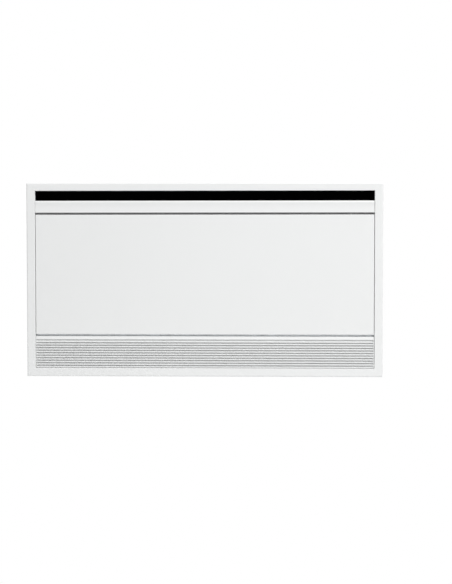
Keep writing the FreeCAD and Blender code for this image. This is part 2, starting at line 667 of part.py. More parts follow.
def make_intake_grille():
    """Sloping louvres between two end caps, under a slightly hollow top bar, with ribs behind."""
    body = new_body("intake_grille")
    pitch = f"({LOUVRE_ROOM} / louvre_count)"
    rise = f"({pitch} * 1.06)"
    run = f"({rise} / tan(louvre_slope * 1 deg))"
    edge = "(louvre_sheet / cos(louvre_slope * 1 deg))"
    front = f"(-{FRONT})"
    louvre = [(front, GRILLE_FOOT), (f"{front} + louvre_sheet * 0.5", GRILLE_FOOT),
              (f"{front} + {run}", f"{GRILLE_FOOT} + {rise} - {edge}"),
              (f"{front} + {run}", f"{GRILLE_FOOT} + {rise}"),
              (f"{front} + louvre_sheet", f"{GRILLE_FOOT} + {edge} * 1.2"),
              (front, f"{GRILLE_FOOT} + {edge}")]
    blade = pad(body, "YZ_Plane", [louvre], f"2 * {GRILLE_X}", both=True)
    repeat(body, [blade], "Z_Axis", f"{LOUVRE_ROOM} - {pitch}", "louvre_count")
    bar_foot = f"{GRILLE_TOP} - top_bar"
    bar = [(front, bar_foot), (f"-{GRILLE_BACK}", bar_foot), (f"-{GRILLE_BACK}", GRILLE_TOP),
           (f"{front} + bar_dish", GRILLE_TOP), arc("(top_bar^2 + bar_dish^2) / (2 * bar_dish)", "right")]
    pad(body, "YZ_Plane", [bar], f"2 * {GRILLE_X}", both=True)
    cap_front = f"({front} + cap_set)"
    cap = [(f"{cap_front} + cap_set", GRILLE_FOOT), (f"-{GRILLE_BACK}", GRILLE_FOOT),
           (f"-{GRILLE_BACK}", f"{bar_foot} + cap_set"), (cap_front, f"{bar_foot} + cap_set"),
           (cap_front, f"{GRILLE_FOOT} + cap_set")]
    for side in SIDES:
        pad(body, "YZ_Plane", [cap], "end_cap", offset=f"{side} * {GRILLE_X}", back=side > 0)
    rib = rect(f"-{GRILLE_BACK} - rib_depth", f"-{GRILLE_BACK}", GRILLE_FOOT, f"{GRILLE_TOP} - top_bar / 2")
    for share in (-0.6, -0.2, 0.2, 0.6):
        pad(body, "YZ_Plane", [rib], "rib_sheet", offset=f"{share} * {GRILLE_X}", both=True)
    fillet(body, lambda edge: lies_at(edge, "z", GRILLE_TOP) and edge.Length > value(GRILLE_X),
           "top_bar * 0.12")
    return body


def make_grille_strikers():
    """Steel plates on the back of the top bar for the magnets to hold."""
    middle = f"({GRILLE_TOP} - top_bar / 2)"
    plates = [block(f"{side} * magnet_span / 2 - striker_length / 2",
                    f"{side} * magnet_span / 2 + striker_length / 2",
                    f"-{GRILLE_BACK}", f"-{GRILLE_BACK} + striker_sheet",
                    f"{middle} - magnet_height / 2", f"{middle} + magnet_height / 2") for side in SIDES]
    return group(plates, "grille_strikers")


def make_grille_magnets():
    """Magnets on the lower rail, which hold the grille shut."""
    middle = f"({GRILLE_TOP} - top_bar / 2)"
    magnets = [block(f"{side} * magnet_span / 2 - magnet_length / 2",
                     f"{side} * magnet_span / 2 + magnet_length / 2",
                     f"-{GRILLE_BACK} + striker_sheet + magnet_gap", f"-{RAIL_FRONT}",
                     f"{middle} - magnet_height / 2 + rail_sheet",
                     f"{middle} + magnet_height / 2") for side in SIDES]
    return group(magnets, "grille_magnets")


def make_filter_frame():
    """A moulded frame with cross bars, clipped behind the grille."""
    body = new_body("filter_frame")
    front = GRILLE_BACK
    outer = rect(f"-{FILTER_X}", FILTER_X, FILTER_FOOT, FILTER_TOP)
    bay = f"((2 * {FILTER_X} - filter_border) / (filter_rib_count + 1))"
    pad(body, "XZ_Plane", [outer], "filter_thick", offset=front, back=True)
    window = rect(f"-{FILTER_X} + filter_border", f"-{FILTER_X} + {bay}", f"{FILTER_FOOT} + filter_border",
                  f"{FILTER_TOP} - filter_border")
    hole = pocket(body, "XZ_Plane", [window], "2 * filter_thick", offset=front)
    repeat(body, [hole], "X_Axis", f"{bay} * filter_rib_count", "filter_rib_count + 1")
    return body


def make_filter_mesh():
    """The net of the filter, in the middle of its frame's windows."""
    body = new_body("filter_mesh")
    bay = f"((2 * {FILTER_X} - filter_border) / (filter_rib_count + 1))"
    window = rect(f"-{FILTER_X} + filter_border", f"-{FILTER_X} + {bay}", f"{FILTER_FOOT} + filter_border",
                  f"{FILTER_TOP} - filter_border")
    net = pad(body, "XZ_Plane", [window], "filter_mesh_thick", offset=f"{GRILLE_BACK} - filter_thick / 2",
              back=True)
    repeat(body, [net], "X_Axis", f"{bay} * filter_rib_count", "filter_rib_count + 1")
    return body


# Chassis plates

PLATES = {"end_plate_left": ("(-plate_left)", -1), "end_plate_right": ("plate_right", 1)}


def coil_corner(depth, height):
    """Where a point of the leaning coil lies, as Y and Z."""
    y = f"(-coil_set + ({depth}) * cos(coil_tilt * 1 deg) - ({height}) * sin(coil_tilt * 1 deg))"
    z = f"({COIL_Z} + ({depth}) * sin(coil_tilt * 1 deg) + ({height}) * cos(coil_tilt * 1 deg))"
    return y, z


def make_end_plate(name):
    """A steel end plate with a foot on the box's back, a window for the coil and a hole for the fan."""
    body = new_body(name)
    inner, side = PLATES[name]
    notch = f"(-tray_back - tray_width - notch_front)"
    plate = [(f"-{CHASSIS_FRONT}", CHASSIS_FOOT), (notch, CHASSIS_FOOT), (notch, TRAY_TOP),
             (f"-{CHASSIS_BACK}", TRAY_TOP),
             (f"-{CHASSIS_BACK}", CHASSIS_TOP), (f"-{CHASSIS_FRONT}", CHASSIS_TOP)]
    half = "coil_depth / 2"
    window = [coil_corner(f"{i} * {half}", f"{k} * {COIL_HALF}")
              for i, k in ((-1, -1), (1, -1), (1, 1), (-1, 1))]
    fan_hole = circle("-fan_set", FAN_Z, "motor_hole" if side > 0 else "ring_radius - ring_groove")
    pad(body, "YZ_Plane", [plate, window, fan_hole], "chassis_sheet", offset=inner, back=side < 0)
    outer = f"{inner} + {side} * chassis_sheet"
    foot = rect(f"-{CHASSIS_BACK} - chassis_sheet", f"-{CHASSIS_BACK}", TRAY_TOP, CHASSIS_TOP)
    pad(body, "YZ_Plane", [foot], "pad_width + 4", offset=outer, back=side < 0)
    bolts = [circle(x, z, "bolt_radius + 0.4") for x, z in BOLTS[name]]
    pocket(body, "XZ_Plane", bolts, "2 * chassis_sheet", offset=f"{CHASSIS_BACK} + chassis_sheet")
    if side > 0:
        lugs = [circle(y, z, "bolt_radius") for y, z in MOTOR_LUGS]
        pocket(body, "YZ_Plane", lugs, "2 * chassis_sheet", offset=outer)
    return body


def bolt_places(inner, side):
    x = f"({inner} + {side} * (chassis_sheet + 2 + pad_width / 2))"
    return [(x, f"({TRAY_TOP} + pad_inset)"), (x, f"({CHASSIS_TOP} - pad_inset)")]


BOLTS = {name: bolt_places(*PLATES[name]) for name in PLATES}
MOTOR_LUGS = [(f"(-fan_set + lug_circle * cos({angle} deg))", f"({FAN_Z} + lug_circle * sin({angle} deg))")
              for angle in (90, 210, 330)]


def make_chassis_pads():
    """Rubber pads between the end plates' feet and the back of the box."""
    pads = []
    for x, z in BOLTS["end_plate_left"] + BOLTS["end_plate_right"]:
        whole = block(f"{x} - pad_width / 2", f"{x} + pad_width / 2", f"-{CHASSIS_BACK}", "-box_sheet",
                      f"{z} - pad_height / 2", f"{z} + pad_height / 2")
        pads.append(cut(whole, rod("y", x, f"-{CHASSIS_BACK}", z, "bolt_radius + 0.4", "pad_thick")))
    return group(pads, "chassis_pads")


def make_chassis_bolts():
    """Hexagon bolts through the feet and the pads to the back of the box."""
    bolts = []
    for x, z in BOLTS["end_plate_left"] + BOLTS["end_plate_right"]:
        body = new_body("Bolt")
        corners = [(f"bolt_head * cos({60 * i} deg)", f"bolt_head * sin({60 * i} deg)") for i in range(6)]
        pad(body, "XZ_Plane", [corners], "bolt_radius * 1.4")
        pad(body, "XZ_Plane", [circle("0", "0", "bolt_radius")], "chassis_sheet + pad_thick", back=True)
        bind(body, "Placement.Base.x", x)
        bind(body, "Placement.Base.y", f"-{CHASSIS_BACK} - chassis_sheet")
        bind(body, "Placement.Base.z", z)
        bolts.append(body)
    return group(bolts, "chassis_bolts")


# Outlet plenum

PLENUM_X = f"({OPEN_X} - plenum_end_gap)"
PLENUM_TOP = f"({INSIDE_Z} - plenum_gap)"
THROAT = "(-plenum_back - throat_width)"
MOUTH_FOOT = f"({FLAP_TOP} - mouth_lip)"


def make_outlet_plenum():
    """The black duct that turns the air from upward to outward: a folded sheet, a flat lid and two cheeks."""
    body = new_body("Duct")
    wall = "plenum_sheet"
    outer = [("-plenum_back", CHASSIS_TOP), ("-plenum_back", f"{PLENUM_TOP} - plenum_round"),
             arc("plenum_round", "left"), ("-plenum_back - plenum_round", PLENUM_TOP),
             ("-mouth_back", PLENUM_TOP), ("-mouth_back", MOUTH_FOOT), (THROAT, CHASSIS_TOP)]
    inner = [(f"-plenum_back - {wall}", f"{CHASSIS_TOP} + {wall}"),
             (f"-plenum_back - {wall}", f"{PLENUM_TOP} - plenum_round"),
             arc(f"plenum_round - {wall}", "left"),
             ("-plenum_back - plenum_round", f"{PLENUM_TOP} - {wall}"),
             (f"-mouth_back - {wall}", f"{PLENUM_TOP} - {wall}"),
             (f"-mouth_back - {wall}", f"{MOUTH_FOOT} + {wall}"),
             ("-mouth_back", f"{MOUTH_FOOT} + {wall}"), (f"{THROAT} + {wall}", f"{CHASSIS_TOP} + {wall}")]
    side, front, back = f"({PLENUM_X} - {wall})", "-mouth_back", "-plenum_back - plenum_round"
    pad(body, "YZ_Plane", [outer], f"2 * {side}", both=True)
    pocket(body, "YZ_Plane", [inner], f"2 * {PLENUM_X}", both=True)
    inlet = rect("-plate_left", "plate_right", f"{THROAT} + {wall}",
                 f"-plenum_back - {wall} - scroll_back / 3")
    pocket(body, "XY_Plane", [inlet], "2 * plenum_sheet", offset=CHASSIS_TOP, back=True)
    lid_seat = rect(f"-{PLENUM_X}", PLENUM_X, f"{front} - {wall}", back)
    pocket(body, "XY_Plane", [lid_seat], f"2 * {wall}", offset=PLENUM_TOP, both=True)
    lid = block(f"-{side}", side, front, back, f"{PLENUM_TOP} - {wall}", PLENUM_TOP)
    cheeks = []
    for inner_face in (f"-{PLENUM_X}", side):
        cheeks.append(new_body("Cheek"))
        pad(cheeks[-1], "YZ_Plane", [outer], wall, offset=inner_face)
    return group([body, lid, *cheeks], "outlet_plenum")


# Fan housing

def make_fan_scroll():
    """The moulded wall behind the fan, which opens out towards the plenum."""
    body = new_body("fan_scroll")
    lip_y = "(-fan_set + (fan_radius + fan_gap) * cos(40 deg))"
    lip_z = f"({FAN_Z} - (fan_radius + fan_gap) * sin(40 deg))"
    run, climb = f"(-scroll_back - {lip_y})", f"({FAN_Z} + scroll_rise - {lip_z})"
    radius = f"(({run} ^ 2 + {climb} ^ 2) / (2 * {run}))"
    profile = [(lip_y, lip_z), (f"{lip_y} + 3", f"{lip_z} - 6"), (f"-{CHASSIS_BACK}", f"{lip_z} - 6"),
               (f"-{CHASSIS_BACK}", CHASSIS_TOP), ("-scroll_back", CHASSIS_TOP),
               ("-scroll_back", f"{FAN_Z} + scroll_rise"), arc(radius, "right")]
    pad(body, "YZ_Plane", [profile], "plate_left + plate_right", offset="-plate_left")
    return body


def make_fan_tongue():
    """The moulded cut-off in front of the fan, with a skirt that closes down to the coil."""
    body = new_body("fan_tongue")
    reach = "(fan_radius + fan_gap)"
    nose_y, nose_z = f"(-fan_set - {reach} * cos(16 deg))", f"({FAN_Z} + {reach} * sin(16 deg))"
    front = f"(-{CHASSIS_FRONT})"
    coil_top = coil_corner("-coil_depth / 2 - sheet_margin", f"{COIL_HALF} + sheet_margin")[1]
    skirt_foot = f"({coil_top} + notch_clear)"
    profile = [(front, skirt_foot), (f"{front} + chassis_sheet", skirt_foot),
               (f"{front} + chassis_sheet", f"{nose_z} - 12"), (nose_y, nose_z),
               arc("fan_radius * 4", "right"), (f"{THROAT} + plenum_sheet", CHASSIS_TOP),
               (front, CHASSIS_TOP)]
    pad(body, "YZ_Plane", [profile], "plate_left + plate_right", offset="-plate_left")
    return body


# Fan, bearing and motor

FAN_LEFT = "(-plate_left + fan_end_gap)"
FAN_LENGTH = "(plate_left + plate_right - 2 * fan_end_gap)"


def place_on_fan_axis(thing, x="0"):
    bind(thing, "Placement.Base.x", x)
    bind(thing, "Placement.Base.y", "-fan_set")
    bind(thing, "Placement.Base.z", FAN_Z)
    return thing


def make_fan_impeller():
    """A tangential impeller: curved blades between discs, with a hub at each end."""
    body = new_body("fan_impeller")
    inner = "(fan_radius - blade_chord)"
    outer = "(fan_radius - blade_thick / 2)"
    blade = [("0", inner), arc("blade_curve", "left"), ("blade_chord * 0.5", outer),
             ("blade_chord * 0.5 - blade_thick", outer), arc("blade_curve + blade_thick", "right"),
             ("-blade_thick", inner)]
    vane = pad(body, "YZ_Plane", [blade], FAN_LENGTH)
    turn_copies(body, [vane], "X_Axis", "blade_count")
    ring = [circle("0", "0", "fan_radius"), circle("0", "0", f"{inner} - blade_thick")]
    disc = pad(body, "YZ_Plane", ring, "disc_thick")
    repeat(body, [disc], "X_Axis", f"{FAN_LENGTH} - disc_thick", "disc_count")
    for start, back in (("0", False), (FAN_LENGTH, True)):
        pad(body, "YZ_Plane",
            [circle("0", "0", f"{inner} + blade_thick"), circle("0", "0", "shaft_radius")],
            "disc_thick", offset=start, back=back)
        pad(body, "YZ_Plane", [circle("0", "0", "hub_radius"), circle("0", "0", "shaft_radius")],
            "hub_length", offset=start, back=back)
    return place_on_fan_axis(body, FAN_LEFT)


MOTOR_FRONT = "(plate_right + chassis_sheet + motor_stand)"
BEARING_X = "(-plate_left - chassis_sheet / 2 - bearing_width / 2)"


def make_fan_shaft():
    """The stub axle at the bearing end and the motor's shaft at the other, both fixed in the hubs."""
    stub = rod("x", BEARING_X, "0", "0", "shaft_radius", f"{FAN_LEFT} + hub_length - ({BEARING_X})")
    drive_start = f"({FAN_LEFT} + {FAN_LENGTH} - hub_length)"
    drive = rod("x", drive_start, "0", "0", "shaft_radius",
                f"{MOTOR_FRONT} + motor_length * 0.6 - {drive_start}")
    return place_on_fan_axis(group([stub, drive], "fan_shaft"))


def make_fan_bearing():
    """The ball bearing that carries the stub axle."""
    return place_on_fan_axis(tube("x", BEARING_X, "0", "0", "bearing_radius", "shaft_radius + shaft_clear",
                                  "bearing_width", "fan_bearing"))


def make_bearing_ring():
    """The rubber ring that holds the bearing in the left end plate, with a groove for the plate."""
    body = new_body("bearing_ring")
    half = "(bearing_width / 2)"
    plate = "(chassis_sheet / 2)"
    groove = "(ring_radius - ring_groove)"
    section = [(f"-{half}", "bearing_radius"), (half, "bearing_radius"), (half, "ring_radius"),
               (plate, "ring_radius"),
               (plate, groove), (f"-{plate}", groove), (f"-{plate}", "ring_radius"),
               (f"-{half}", "ring_radius")]
    revolve(body, "XY_Plane", [section], "X_Axis")
    return place_on_fan_axis(body, "-plate_left - chassis_sheet / 2")


def make_fan_motor():
    """A resin-packed motor with three lugs and a hole for its shaft."""
    body = new_body("fan_motor")
    step = "(motor_radius * 0.8)"
    section = [("0", "shaft_radius + shaft_clear"), ("0", step), ("lug_thick", step),
               ("lug_thick", "motor_radius"),
               ("motor_length - lug_thick", "motor_radius"), ("motor_length", step),
               ("motor_length", "0"), ("motor_length * 0.65", "0"),
               ("motor_length * 0.65", "shaft_radius + shaft_clear")]
    revolve(body, "XY_Plane", [section], "X_Axis")
    for angle in (90, 210, 330):
        y, z = f"lug_circle * cos({angle} deg)", f"lug_circle * sin({angle} deg)"
        pad(body, "YZ_Plane", [circle(y, z, "lug_radius")], "lug_thick", offset="lug_thick")
        pad(body, "YZ_Plane", [circle(f"{y} * 0.7", f"{z} * 0.7", "lug_radius")], "lug_thick * 0.9",
            offset="lug_thick * 1.05")
        pocket(body, "YZ_Plane", [circle(y, z, "bolt_radius")], "lug_thick * 3", offset="0", back=True)
    return place_on_fan_axis(body, MOTOR_FRONT)


def make_motor_grommets():
    """Rubber sleeves that stand the motor's lugs off the end plate."""
    start = "(plate_right + chassis_sheet)"
    length = "(motor_stand + lug_thick)"
    sleeves = [tube("x", start, y, z, "lug_radius * 0.8", "bolt_radius", length) for y, z in MOTOR_LUGS]
    return group(sleeves, "motor_grommets")


def make_motor_screws():
    """Screws through the lugs and sleeves into the end plate."""
    start = "(plate_right + chassis_sheet / 2)"
    length = "(chassis_sheet / 2 + motor_stand + 2 * lug_thick)"
    screws = []
    for y, z in MOTOR_LUGS:
        head = rod("x", f"{start} + {length}", y, z, "bolt_radius * 1.8", "bolt_radius")
        screws.append(fuse([rod("x", start, y, z, "bolt_radius - 0.02", length), head]))
    return group(screws, "motor_screws")


# Coil and water connections, drawn upright and then leaned together

def lean(thing):
    """Leans a piece of the coil with its top towards the room."""
    thing.Placement = Placement(Vector(), Rotation(Vector(1, 0, 0), value("coil_tilt")))
    bind(thing, "Placement.Base.y", "-coil_set")
    bind(thing, "Placement.Base.z", COIL_Z)
    bind(thing, "Placement.Rotation.Angle", "coil_tilt")
    return thing


FINS_LEFT = "(-plate_left + chassis_sheet)"
FINS_RIGHT = "(plate_right - chassis_sheet)"


def make_coil_fins():
    """The block of fins: slots from both faces leave the core that the tubes run through."""
    body = new_body("coil_fins")
    length = f"({FINS_RIGHT} - {FINS_LEFT})"
    half = "(coil_depth / 2)"
    pad(body, "YZ_Plane", [rect(f"-{half}", half, f"-{COIL_HALF}", COIL_HALF)], length, offset=FINS_LEFT)
    cuts = [rect(f"{FINS_LEFT} + fin_pitch - fin_slot", f"{FINS_LEFT} + fin_pitch",
                 *sorted((f"{side} * fin_core / 2", f"{side} * ({half} + 1)"),
                         key=value)) for side in SIDES]
    slot = pocket(body, "XY_Plane", cuts, f"2 * {COIL_HALF} + 2", both=True)
    repeat(body, [slot], "X_Axis", f"(floor({length} / fin_pitch) - 1) * fin_pitch",
           f"floor({length} / fin_pitch)")
    return lean(body)


def make_tube_sheet(name, inner, side):
    """A steel sheet at one end of the fins, fixed behind the window of its end plate."""
    reach, height = "(coil_depth / 2 + sheet_margin)", f"({COIL_HALF} + sheet_margin)"
    start, end = sorted((inner, f"{inner} - {side} * chassis_sheet"), key=value)
    made = block(start, end, f"-{reach}", reach, f"-{height}", height)
    return lean(group([made], name))


def make_bend():
    """A half-turn of tube in short straight steps, which opens towards the left."""
    path = doc.addObject("Sketcher::SketchObject", "BendPath")
    path.Placement = Placement(Vector(), Rotation(Vector(1, 0, 0), 90))
    reach = "(tube_pitch / 2 / cos(22.5 deg))"
    corners = [(f"{reach} * cos({angle} deg)", f"{reach} * sin({angle} deg)")
               for angle in (-67.5, -22.5, 22.5, 67.5)]
    corners = [("0", "-tube_pitch / 2"), *corners, ("0", "tube_pitch / 2")]
    points = [Vector(value(x), value(y), 0) for x, y in corners]
    steps = [path.addGeometry(Part.LineSegment(*pair), False) for pair in zip(points, points[1:])]
    for step in steps[1:]:
        path.addConstraint(Sketcher.Constraint("Coincident", step - 1, 2, step, 1))
    for i, (x, y) in enumerate(corners):
        end = (steps[i], 1) if i < len(steps) else (steps[-1], 2)
        tie(path, "DistanceX", end, x)
        tie(path, "DistanceY", end, y)
    section = doc.addObject("Part::RegularPolygon", "TubeSection")
    section.Polygon = 10
    section.Placement = Placement(Vector(), Rotation(Vector(0, 1, 0), 90))
    bind(section, "Circumradius", "tube_radius")
    bind(section, "Placement.Base.z", "-tube_pitch / 2")
    doc.recompute()
    made = doc.addObject("Part::Sweep", "Bend")
    made.Sections = [section]
    made.Spine = (path, [f"Edge{i}" for i in range(1, len(steps) + 1)])
    made.Solid = True
    made.Transition = "Right corner"
    return made


def make_return_bends(name, x, side):
    """The bends outside one tube sheet: on the left they leave the first and last tubes to the headers."""
    source = make_bend()
    pairs = round(value(TUBE_PAIRS))
    levels = range(1 - pairs, pairs, 2) if side > 0 else range(2 - pairs, pairs - 1, 2)
    bends = []
    for row in SIDES:
        for level in levels:
            copy = group([source], "BendPlace")
            copy.Placement = Placement(Vector(), Rotation(Vector(0, 0, 1), 0 if side > 0 else 180))
            bind(copy, "Placement.Base.x", x)
            bind(copy, "Placement.Base.y", f"{row} * tube_rows / 2")
            bind(copy, "Placement.Base.z", f"{level} * tube_pitch")
            bends.append(copy)
    return lean(group(bends, name))


LAST_TUBE = f"(({TUBE_PAIRS} - 0.5) * tube_pitch)"
HEADER_X = "(-plate_left - header_set)"
UNION_X = "(-plate_left - header_set - pipe_length - header_radius)"


def make_header(name, z):
    """A short copper header that joins the two rows of the coil to one connection."""
    body = rod("y", HEADER_X, "-header_length / 2", z, "header_radius", "header_length")
    stubs = [rod("x", HEADER_X, f"{row} * tube_rows / 2", z, "tube_radius", "header_set") for row in SIDES]
    pipe = rod("x", UNION_X, "0", z, "pipe_radius", "pipe_length + header_radius")
    return lean(fuse([body, *stubs, pipe], name))


def make_union(name, z):
    """A brass union: a hexagon nut and a male thread for the pipe."""
    body = new_body(name)
    corners = [(f"union_nut * cos({60 * i} deg)", f"{z} + union_nut * sin({60 * i} deg)") for i in range(6)]
    pad(body, "YZ_Plane", [corners], "union_nut_length", offset=UNION_X, back=True)
    pad(body, "YZ_Plane", [circle("0", z, "union_radius")], "union_nut_length + union_thread",
        offset=UNION_X, back=True)
    pocket(body, "YZ_Plane", [circle("0", z, "union_bore")], "union_nut_length + union_thread",
           offset=UNION_X)
    return lean(body)


VENT_Z = f"({LAST_TUBE} + header_radius)"


def make_air_vent():
    """The brass bleed valve on top of the upper header."""
    stem = rod("z", HEADER_X, "0", f"{VENT_Z} - header_radius * 0.4", "vent_radius",
               "vent_height + header_radius * 0.4")
    header = rod("y", HEADER_X, "-header_length / 2", LAST_TUBE, "header_radius", "header_length")
    pipe = rod("x", UNION_X, "0", LAST_TUBE, "pipe_radius", "pipe_length + header_radius")
    return lean(cut(stem, fuse([header, pipe]), "air_vent"))


def make_vent_knob():
    """The knurled cap that opens the bleed valve."""
    body = new_body("vent_knob")
    foot = f"({VENT_Z} + vent_height)"
    pad(body, "XY_Plane", [circle(HEADER_X, "0", "knob_radius")], "knob_height", offset=foot)
    flutes = [circle(f"{HEADER_X} + knob_radius * cos({60 * i} deg)", f"knob_radius * sin({60 * i} deg)",
                     "knob_radius * 0.22") for i in range(6)]
    pocket(body, "XY_Plane", flutes, "knob_height", offset=foot, back=True)
    return lean(body)


# Condensate tray

TRAY_FOOT = f"({TRAY_TOP} - tray_height)"
TRAY_LEFT = "(-plate_left - tray_left)"
TRAY_RIGHT = "(plate_right + tray_right)"
TRAY_MID = "(-tray_back - tray_width / 2)"


def make_drip_tray():
    """A trough under the coil, with sloping walls."""
    body = new_body("drip_tray")
    back, front = "(-tray_back)", "(-tray_back - tray_width)"
    draft = "(tray_height * 0.25)"
    outer = [(f"{front} + {draft}", TRAY_FOOT), (f"{back} - {draft}", TRAY_FOOT), (back, TRAY_TOP),
             (front, TRAY_TOP)]
    inner = [(f"{front} + {draft} + tray_sheet", f"{TRAY_FOOT} + tray_sheet"),
             (f"{back} - {draft} - tray_sheet", f"{TRAY_FOOT} + tray_sheet"),
             (f"{back} - tray_sheet * 1.2", f"{TRAY_TOP} + 0.5"),
             (f"{front} + tray_sheet * 1.2", f"{TRAY_TOP} + 0.5")]
    length = f"({TRAY_RIGHT} - {TRAY_LEFT})"
    pad(body, "YZ_Plane", [outer], length, offset=TRAY_LEFT)
    pocket(body, "YZ_Plane", [inner], f"{length} - 2 * tray_sheet", offset=f"{TRAY_LEFT} + tray_sheet",
           back=True)
    pocket(body, "YZ_Plane",
           [circle(TRAY_MID, f"{TRAY_FOOT} + spigot_radius + tray_sheet", "spigot_radius")],
           "2 * tray_sheet", offset=TRAY_LEFT, back=True)
    return body


def make_drain_spigot():
    """The hose tail at the left end of the tray."""
    z = f"({TRAY_FOOT} + spigot_radius + tray_sheet)"
    start = f"({TRAY_LEFT} - spigot_length)"
    collar = rod("x", f"{TRAY_LEFT} - tray_sheet", TRAY_MID, z, "spigot_radius + tray_sheet * 0.9",
                 "tray_sheet")
    whole = fuse([rod("x", start, TRAY_MID, z, "spigot_radius", "spigot_length + tray_sheet"), collar])
    return cut(whole, rod("x", start, TRAY_MID, z, "spigot_bore", "spigot_length + tray_sheet"),
               "drain_spigot")


def make_tray_brackets():
    """Folded arms from the back of the box that the tray stands on."""
    body = new_body("tray_brackets")
    top = TRAY_FOOT
    back = "(-box_sheet)"
    profile = [(back, f"{top} - bracket_drop"), (back, top), (f"{TRAY_MID} - tray_width * 0.2", top),
               (f"{TRAY_MID} - tray_width * 0.2", f"{top} - bracket_sheet"),
               (f"{back} - bracket_sheet", f"{top} - bracket_sheet"),
               (f"{back} - bracket_sheet", f"{top} - bracket_drop")]
    middle = "((plate_right - plate_left) / 2)"
    for step in (-1, 0, 1):
        pad(body, "YZ_Plane", [profile], "bracket_width", offset=f"{middle} + {step} * bracket_span",
            both=True)
    return body


# Controls

CONTROL_RIGHT = "(control_left + control_width)"
CONTROL_FOOT = f"({CHASSIS_FOOT} + control_foot)"
CONTROL_TOP = f"({FAN_Z} - lug_circle - lug_radius - control_gap)"
CONTROL_HEIGHT = f"({CONTROL_TOP} - {CONTROL_FOOT})"
CONTROL_FRONT = "(box_sheet + control_depth)"


def make_control_box():
    """A plastic case on the back of the box, open to the room, with posts for the board."""
    body = new_body("control_box")
    outer = rect("control_left", CONTROL_RIGHT, CONTROL_FOOT, CONTROL_TOP)
    inner = rect("control_left + control_wall", f"{CONTROL_RIGHT} - control_wall",
                 f"{CONTROL_FOOT} + control_wall", f"{CONTROL_TOP} - control_wall")
    pad(body, "XZ_Plane", [outer], "control_depth", offset="box_sheet")
    pocket(body, "XZ_Plane", [inner], "control_depth - control_wall", offset=CONTROL_FRONT)
    posts = [circle(x, z, "bolt_radius * 1.2") for x, z in BOARD_POSTS]
    pad(body, "XZ_Plane", posts, "board_post", offset="box_sheet + control_wall * 0.5")
    pocket(body, "XY_Plane", [circle(*LEAD, "lead_radius + lead_clear")], "2 * control_wall",
           offset=CONTROL_TOP)
    return body


LEAD = (f"({MOTOR_FRONT} + motor_length / 2)", "(-lead_set)")


def make_motor_lead():
    """The motor's lead, straight down into the case."""
    foot = f"({CONTROL_TOP} - control_wall - lead_tail)"
    lead = rod("z", *LEAD, foot, "lead_radius", f"{FAN_Z} - {foot}")
    motor = rod("x", MOTOR_FRONT, "-fan_set", FAN_Z, "motor_radius", "motor_length")
    return cut(lead, motor, "motor_lead")


BOARD_POSTS = [(f"(control_left + control_width * {i})", f"({CONTROL_FOOT} + {CONTROL_HEIGHT} * {k})")
               for i in (0.15, 0.85) for k in (0.12, 0.88)]
BOARD_Y = "(box_sheet + control_wall * 0.5 + board_post)"


def make_control_cover():
    """The lid of the case: its skirt goes inside the walls."""
    body = new_body("control_cover")
    outer = rect("control_left", CONTROL_RIGHT, CONTROL_FOOT, CONTROL_TOP)
    gap = "(control_wall + cover_clear)"
    skirt = rect(f"control_left + {gap}", f"{CONTROL_RIGHT} - {gap}", f"{CONTROL_FOOT} + {gap}",
                 f"{CONTROL_TOP} - {gap}")
    thick = "(control_wall + cover_clear + control_wall)"
    hollow = rect(f"control_left + {thick}", f"{CONTROL_RIGHT} - {thick}", f"{CONTROL_FOOT} + {thick}",
                  f"{CONTROL_TOP} - {thick}")
    pad(body, "XZ_Plane", [outer], "control_wall", offset=CONTROL_FRONT)
    fillet(body, lambda edge: lies_at(edge, "y", f"-{CONTROL_FRONT} - control_wall"), "control_wall * 0.6")
    pad(body, "XZ_Plane", [skirt, hollow], "cover_skirt", offset=CONTROL_FRONT, back=True)
    holes = [circle(x, z, "bolt_radius * 0.7") for x, z in COVER_SCREWS]
    pocket(body, "XZ_Plane", holes, "control_wall * 2", offset=f"{CONTROL_FRONT} + control_wall")
    return body


COVER_SCREWS = [("(control_left + control_width / 2)",
                 f"({CONTROL_FOOT} + {CONTROL_HEIGHT} * {k})") for k in (0.14, 0.86)]


def make_cover_screws():
    screws = []
    front = f"(-{CONTROL_FRONT} - control_wall)"
    for x, z in COVER_SCREWS:
        head = rod("y", x, f"{front} - bolt_radius * 0.6", z, "bolt_radius", "bolt_radius * 0.6")
        shank = rod("y", x, front, z, "bolt_radius * 0.68", "control_wall + cover_skirt * 0.5")
        screws.append(fuse([head, shank]))
    return group(screws, "cover_screws")


def make_circuit_board():
    """The control board on its posts, with its larger components."""
    left, right = f"control_left + control_wall + board_gap", f"{CONTROL_RIGHT} - control_wall - board_gap"
    foot, top = f"{CONTROL_FOOT} + control_wall + board_gap", f"{CONTROL_TOP} - control_wall - board_gap"
    board = block(left, right, f"-{BOARD_Y} - board_thick", f"-{BOARD_Y}", foot, top)
    face = f"(-{BOARD_Y} - board_thick)"
    parts = [board]
    for i, k, wide, high, tall in ((0.3, 0.62, 0.11, 0.065, 0.36), (0.68, 0.66, 0.08, 0.085, 0.29),
                                   (0.62, 0.36, 0.065, 0.045, 0.16)):
        x, z = f"control_left + control_width * {i}", f"{CONTROL_FOOT} + {CONTROL_HEIGHT} * {k}"
        parts.append(block(f"{x} - control_width * {wide}", f"{x} + control_width * {wide}",
                           f"{face} - control_depth * {tall}", face,
                           f"{z} - {CONTROL_HEIGHT} * {high}", f"{z} + {CONTROL_HEIGHT} * {high}"))
    can_x, can_z = "control_left + control_width * 0.32", f"{CONTROL_FOOT} + {CONTROL_HEIGHT} * 0.36"
    can_length = "(control_depth * 0.39)"
    parts.append(rod("y", can_x, f"{face} - {can_length}", can_z, "control_width * 0.058", can_length))
    return fuse(parts, "circuit_board")


